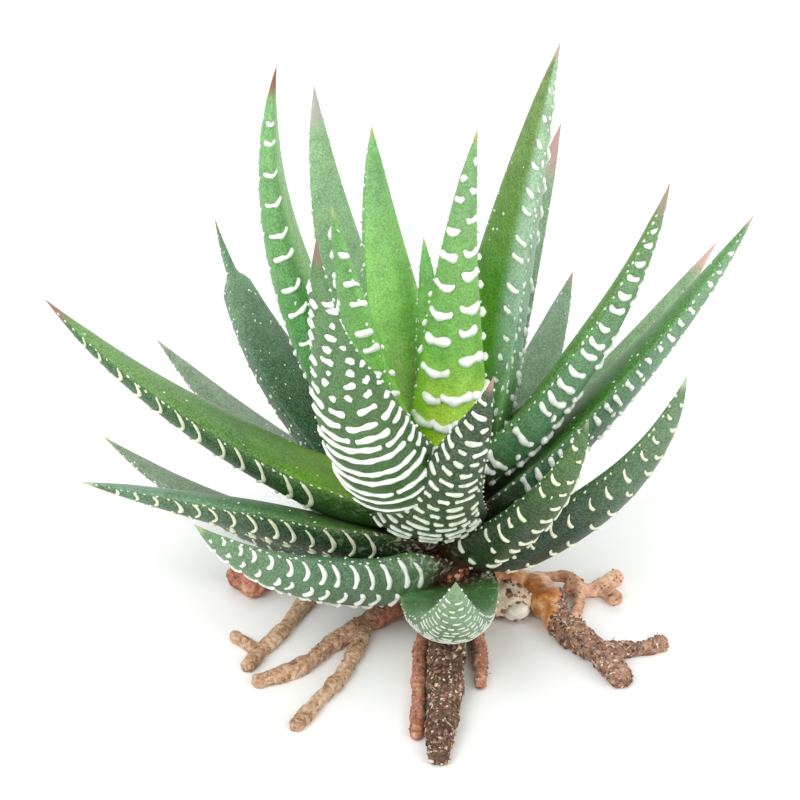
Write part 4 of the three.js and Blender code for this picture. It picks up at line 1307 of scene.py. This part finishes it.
@dataclass(frozen=True)
class RootSystem:
    """The roots that the plant rests on."""

    roots: Sequence[Root]

    LUMP_SIZE = 1.6
    BARE_WRINKLES = 0.4
    RAGGED = 0.4
    RAGGED_SCALE = 0.9
    RUST_STRAY = 8
    LEAST_SOIL = 0.35

    def build(self) -> None:
        """Builds each root in place of its CAD node."""
        for index, root in enumerate(self.roots):
            bm = bmesh.new()
            for number, path in enumerate(root.paths):
                Tube(path).add_to(bm, seed=index * 3 + number)
            for x, y, z, radius in root.lobes:
                place = Matrix.Translation((x, y, z))
                bmesh.ops.create_icosphere(bm, subdivisions=3, radius=radius, matrix=place)
            bm = welded(bm)
            smooth(bm)
            roughen(bm, self.LUMP_SIZE, partial(self.fold, root), index * ROOT_NOISE)
            self.coat(bm, root, index)
            finish_piece(bm, root.node, "bark", (root.bark, *CRUMB_KINDS, Bark.REDDISH))

    def fold(self, root: Root, place: Vector) -> float:
        """The height of a root's wrinkles at a place."""
        return root.wrinkle * root.crusted(place, self.BARE_WRINKLES)

    def coat(self, bm: BMesh, root: Root, index: int) -> None:
        """Coats a root in crumbs, and gives the crusted faces the look of soil."""
        for face in bm.faces:
            middle = face.calc_center_median()
            ragged = self.RAGGED * noise.noise(middle * self.RAGGED_SCALE)
            if root.bare_reach and root.crusted(middle) + ragged > 0.5:
                face.material_index = CRUST_NUMBER
            elif math.hypot(middle.x, middle.y) + self.RUST_STRAY * ragged < root.rusty_reach:
                face.material_index = RUST_NUMBER

        def allowed(place: Vector) -> bool:
            """Whether soil clings at a place."""
            return root.crusted(place) > self.LEAST_SOIL

        crumbs = Crumbs(bm, ROOT_SEED + index)
        crumbs.strew(root.crumbs, HEAVY_SOIL if root.crumbs >= HEAVY_CRUST else LIGHT_SOIL, allowed)
        crumbs.strew(root.crumbs // CRUMBS_PER_SLIVER, SLIVERS, allowed)


@dataclass(frozen=True)
class Stem:
    """The short stem, with soil and bark chips clinging to it, in millimetres."""

    foot_radius: float = 5.2
    collar_radius: float = 7.2
    collar_height: float = 4.5
    top_radius: float = 2.4
    top_height: float = 27.5
    crumbs: int = 600

    SIDES = 48
    CUTS = 30
    LUMP_SIZE = 3.0
    LUMP_HEIGHT = 0.6
    SOIL_SPAN = (1.2, 14)

    def radius(self, height: float) -> float:
        """The stem's radius at a height."""
        if height < self.collar_height:
            swell = math.sin(height / self.collar_height * QUARTER_TURN)
            return self.foot_radius + (self.collar_radius - self.foot_radius) * swell
        share = (height - self.collar_height) / (self.top_height - self.collar_height)
        return self.collar_radius + (self.top_radius - self.collar_radius) * share**0.8

    def build(self) -> None:
        """Builds the stem in place of its CAD node."""
        bm = bmesh.new()
        bmesh.ops.create_cone(
            bm, cap_ends=True, segments=self.SIDES, radius1=1, radius2=1, depth=self.top_height,
            matrix=Matrix.Translation((0, 0, self.top_height / 2)),
        )
        upright = [edge for edge in bm.edges if abs(edge.verts[0].co.z - edge.verts[1].co.z) > 1]
        bmesh.ops.subdivide_edges(bm, edges=upright, cuts=self.CUTS, use_grid_fill=False)
        for vert in bm.verts:
            radius = self.radius(vert.co.z)
            vert.co.x *= radius
            vert.co.y *= radius
        roughen(bm, self.LUMP_SIZE, lambda place: self.LUMP_HEIGHT if place.z > 0.1 else 0.0, STEM_NOISE)
        smooth(bm)
        low, high = self.SOIL_SPAN
        Crumbs(bm, STEM_SEED).strew(self.crumbs, STEM_SOIL, lambda place: low < place.z < high)
        finish_piece(bm, "stem", "bark", (Bark.STEM, *CRUMB_KINDS))


@dataclass(frozen=True)
class Lump:
    """A clump or grain that lies against the stem, in millimetres."""

    node: str
    slot: str
    centre: Triple
    radii: Triple
    bark: Bark
    crumbs: int

    LUMP_SIZE = 2.2
    LUMP_HEIGHT = 0.5

    def build(self, seed: int) -> None:
        """Builds the lump in place of its CAD node."""
        bm = bmesh.new()
        place = Matrix.Translation(self.centre) @ Matrix.Diagonal((*self.radii, 1))
        bmesh.ops.create_icosphere(bm, subdivisions=4, radius=1, matrix=place)
        roughen(bm, self.LUMP_SIZE, lambda place: self.LUMP_HEIGHT, seed * LUMP_NOISE)
        smooth(bm)
        Crumbs(bm, seed).strew(self.crumbs, LUMP_SOIL)
        finish_piece(bm, self.node, "lump", (self.bark, *CRUMB_KINDS))


LUMPS = (
    Lump("soil_clump", "potting_soil", (10.4, -1.4, 2.9), (5.4, 4.4, 2.9), Bark.PALE, 150),
    Lump("pale_grain", "pale_grain", (12.6, -5.2, 2.6), (2.2, 1.6, 1.8), Bark.STONE, 10),
)


@dataclass(frozen=True)
class Studio:
    """Camera, lights and floor, in millimetres. The camera stands as the photograph's did."""

    aim: Triple = (-8.364, 17.755, 33.392)
    distance: float = 480.0
    elevation: float = 28.0
    lens: float = 118.8
    floor_size: float = 4000.0

    SENSOR = 36
    CLIP = (0.01, 10)
    LIT_PLACE = (0, 0, 40)
    WORLD_STRENGTH = 0.95

    def build(self) -> None:
        """Makes the camera, the lights and the floor."""
        self.add_camera()
        self.add_light("key", (-420, -520, 700), 520, 3.6)
        self.add_light("fill", (460, -480, 380), 560, 1.6)
        self.add_light("rim", (60, 620, 560), 480, 1.4)
        self.add_world()
        self.add_floor()

    @staticmethod
    def point_at(item: Object, place: Vector, direction: Vector) -> None:
        """Puts a camera or light at a place and turns it in a direction."""
        item.location = place
        item.rotation_mode = "QUATERNION"
        item.rotation_quaternion = direction.to_track_quat("-Z", "Y")

    def add_camera(self) -> None:
        """Adds the camera."""
        rise = math.radians(self.elevation)
        back = Vector((0, -math.cos(rise), math.sin(rise)))
        camera = bpy.data.cameras.new("camera")
        camera.lens = self.lens
        camera.sensor_width = self.SENSOR
        camera.clip_start, camera.clip_end = self.CLIP
        holder = put_in_scene("camera", camera)
        self.point_at(holder, (Vector(self.aim) + back * self.distance) * MM, -back)
        bpy.context.scene.camera = holder

    def add_light(self, name: str, place: Triple, size: float, power: float) -> None:
        """Adds a square soft light of this many watts that looks at the plant."""
        light = bpy.data.lights.new(name, "AREA")
        light.size = size * MM
        light.energy = power
        location = Vector(place) * MM
        self.point_at(put_in_scene(name, light), location, Vector(self.LIT_PLACE) * MM - location)

    def add_world(self) -> None:
        """Adds the even white light of the studio."""
        world = bpy.data.worlds.new("studio")
        world.use_nodes = True
        background = world.node_tree.nodes["Background"]
        background.inputs["Color"].default_value = (1, 1, 1, 1)
        background.inputs["Strength"].default_value = self.WORLD_STRENGTH
        bpy.context.scene.world = world
        bpy.context.scene.view_settings.view_transform = "Standard"

    def add_floor(self) -> None:
        """Adds the white floor, which isn't part of the plant."""
        bm = bmesh.new()
        bmesh.ops.create_grid(bm, x_segments=1, y_segments=1, size=self.floor_size / 2 * MM)
        floor = put_in_scene("floor", to_mesh(bm, "floor"))
        floor.data.materials.append(FloorFinish().material())


def main() -> None:
    """Builds the plant from the heart outwards, and reports each piece."""
    logging.basicConfig(level=logging.INFO, format="%(message)s")
    Studio().build()
    Rosette(LEAVES).build()
    RootSystem(ROOTS).build()
    Stem().build()
    for index, lump in enumerate(LUMPS):
        lump.build(LUMP_SEED + index)


if __name__ == "__main__":
    main()
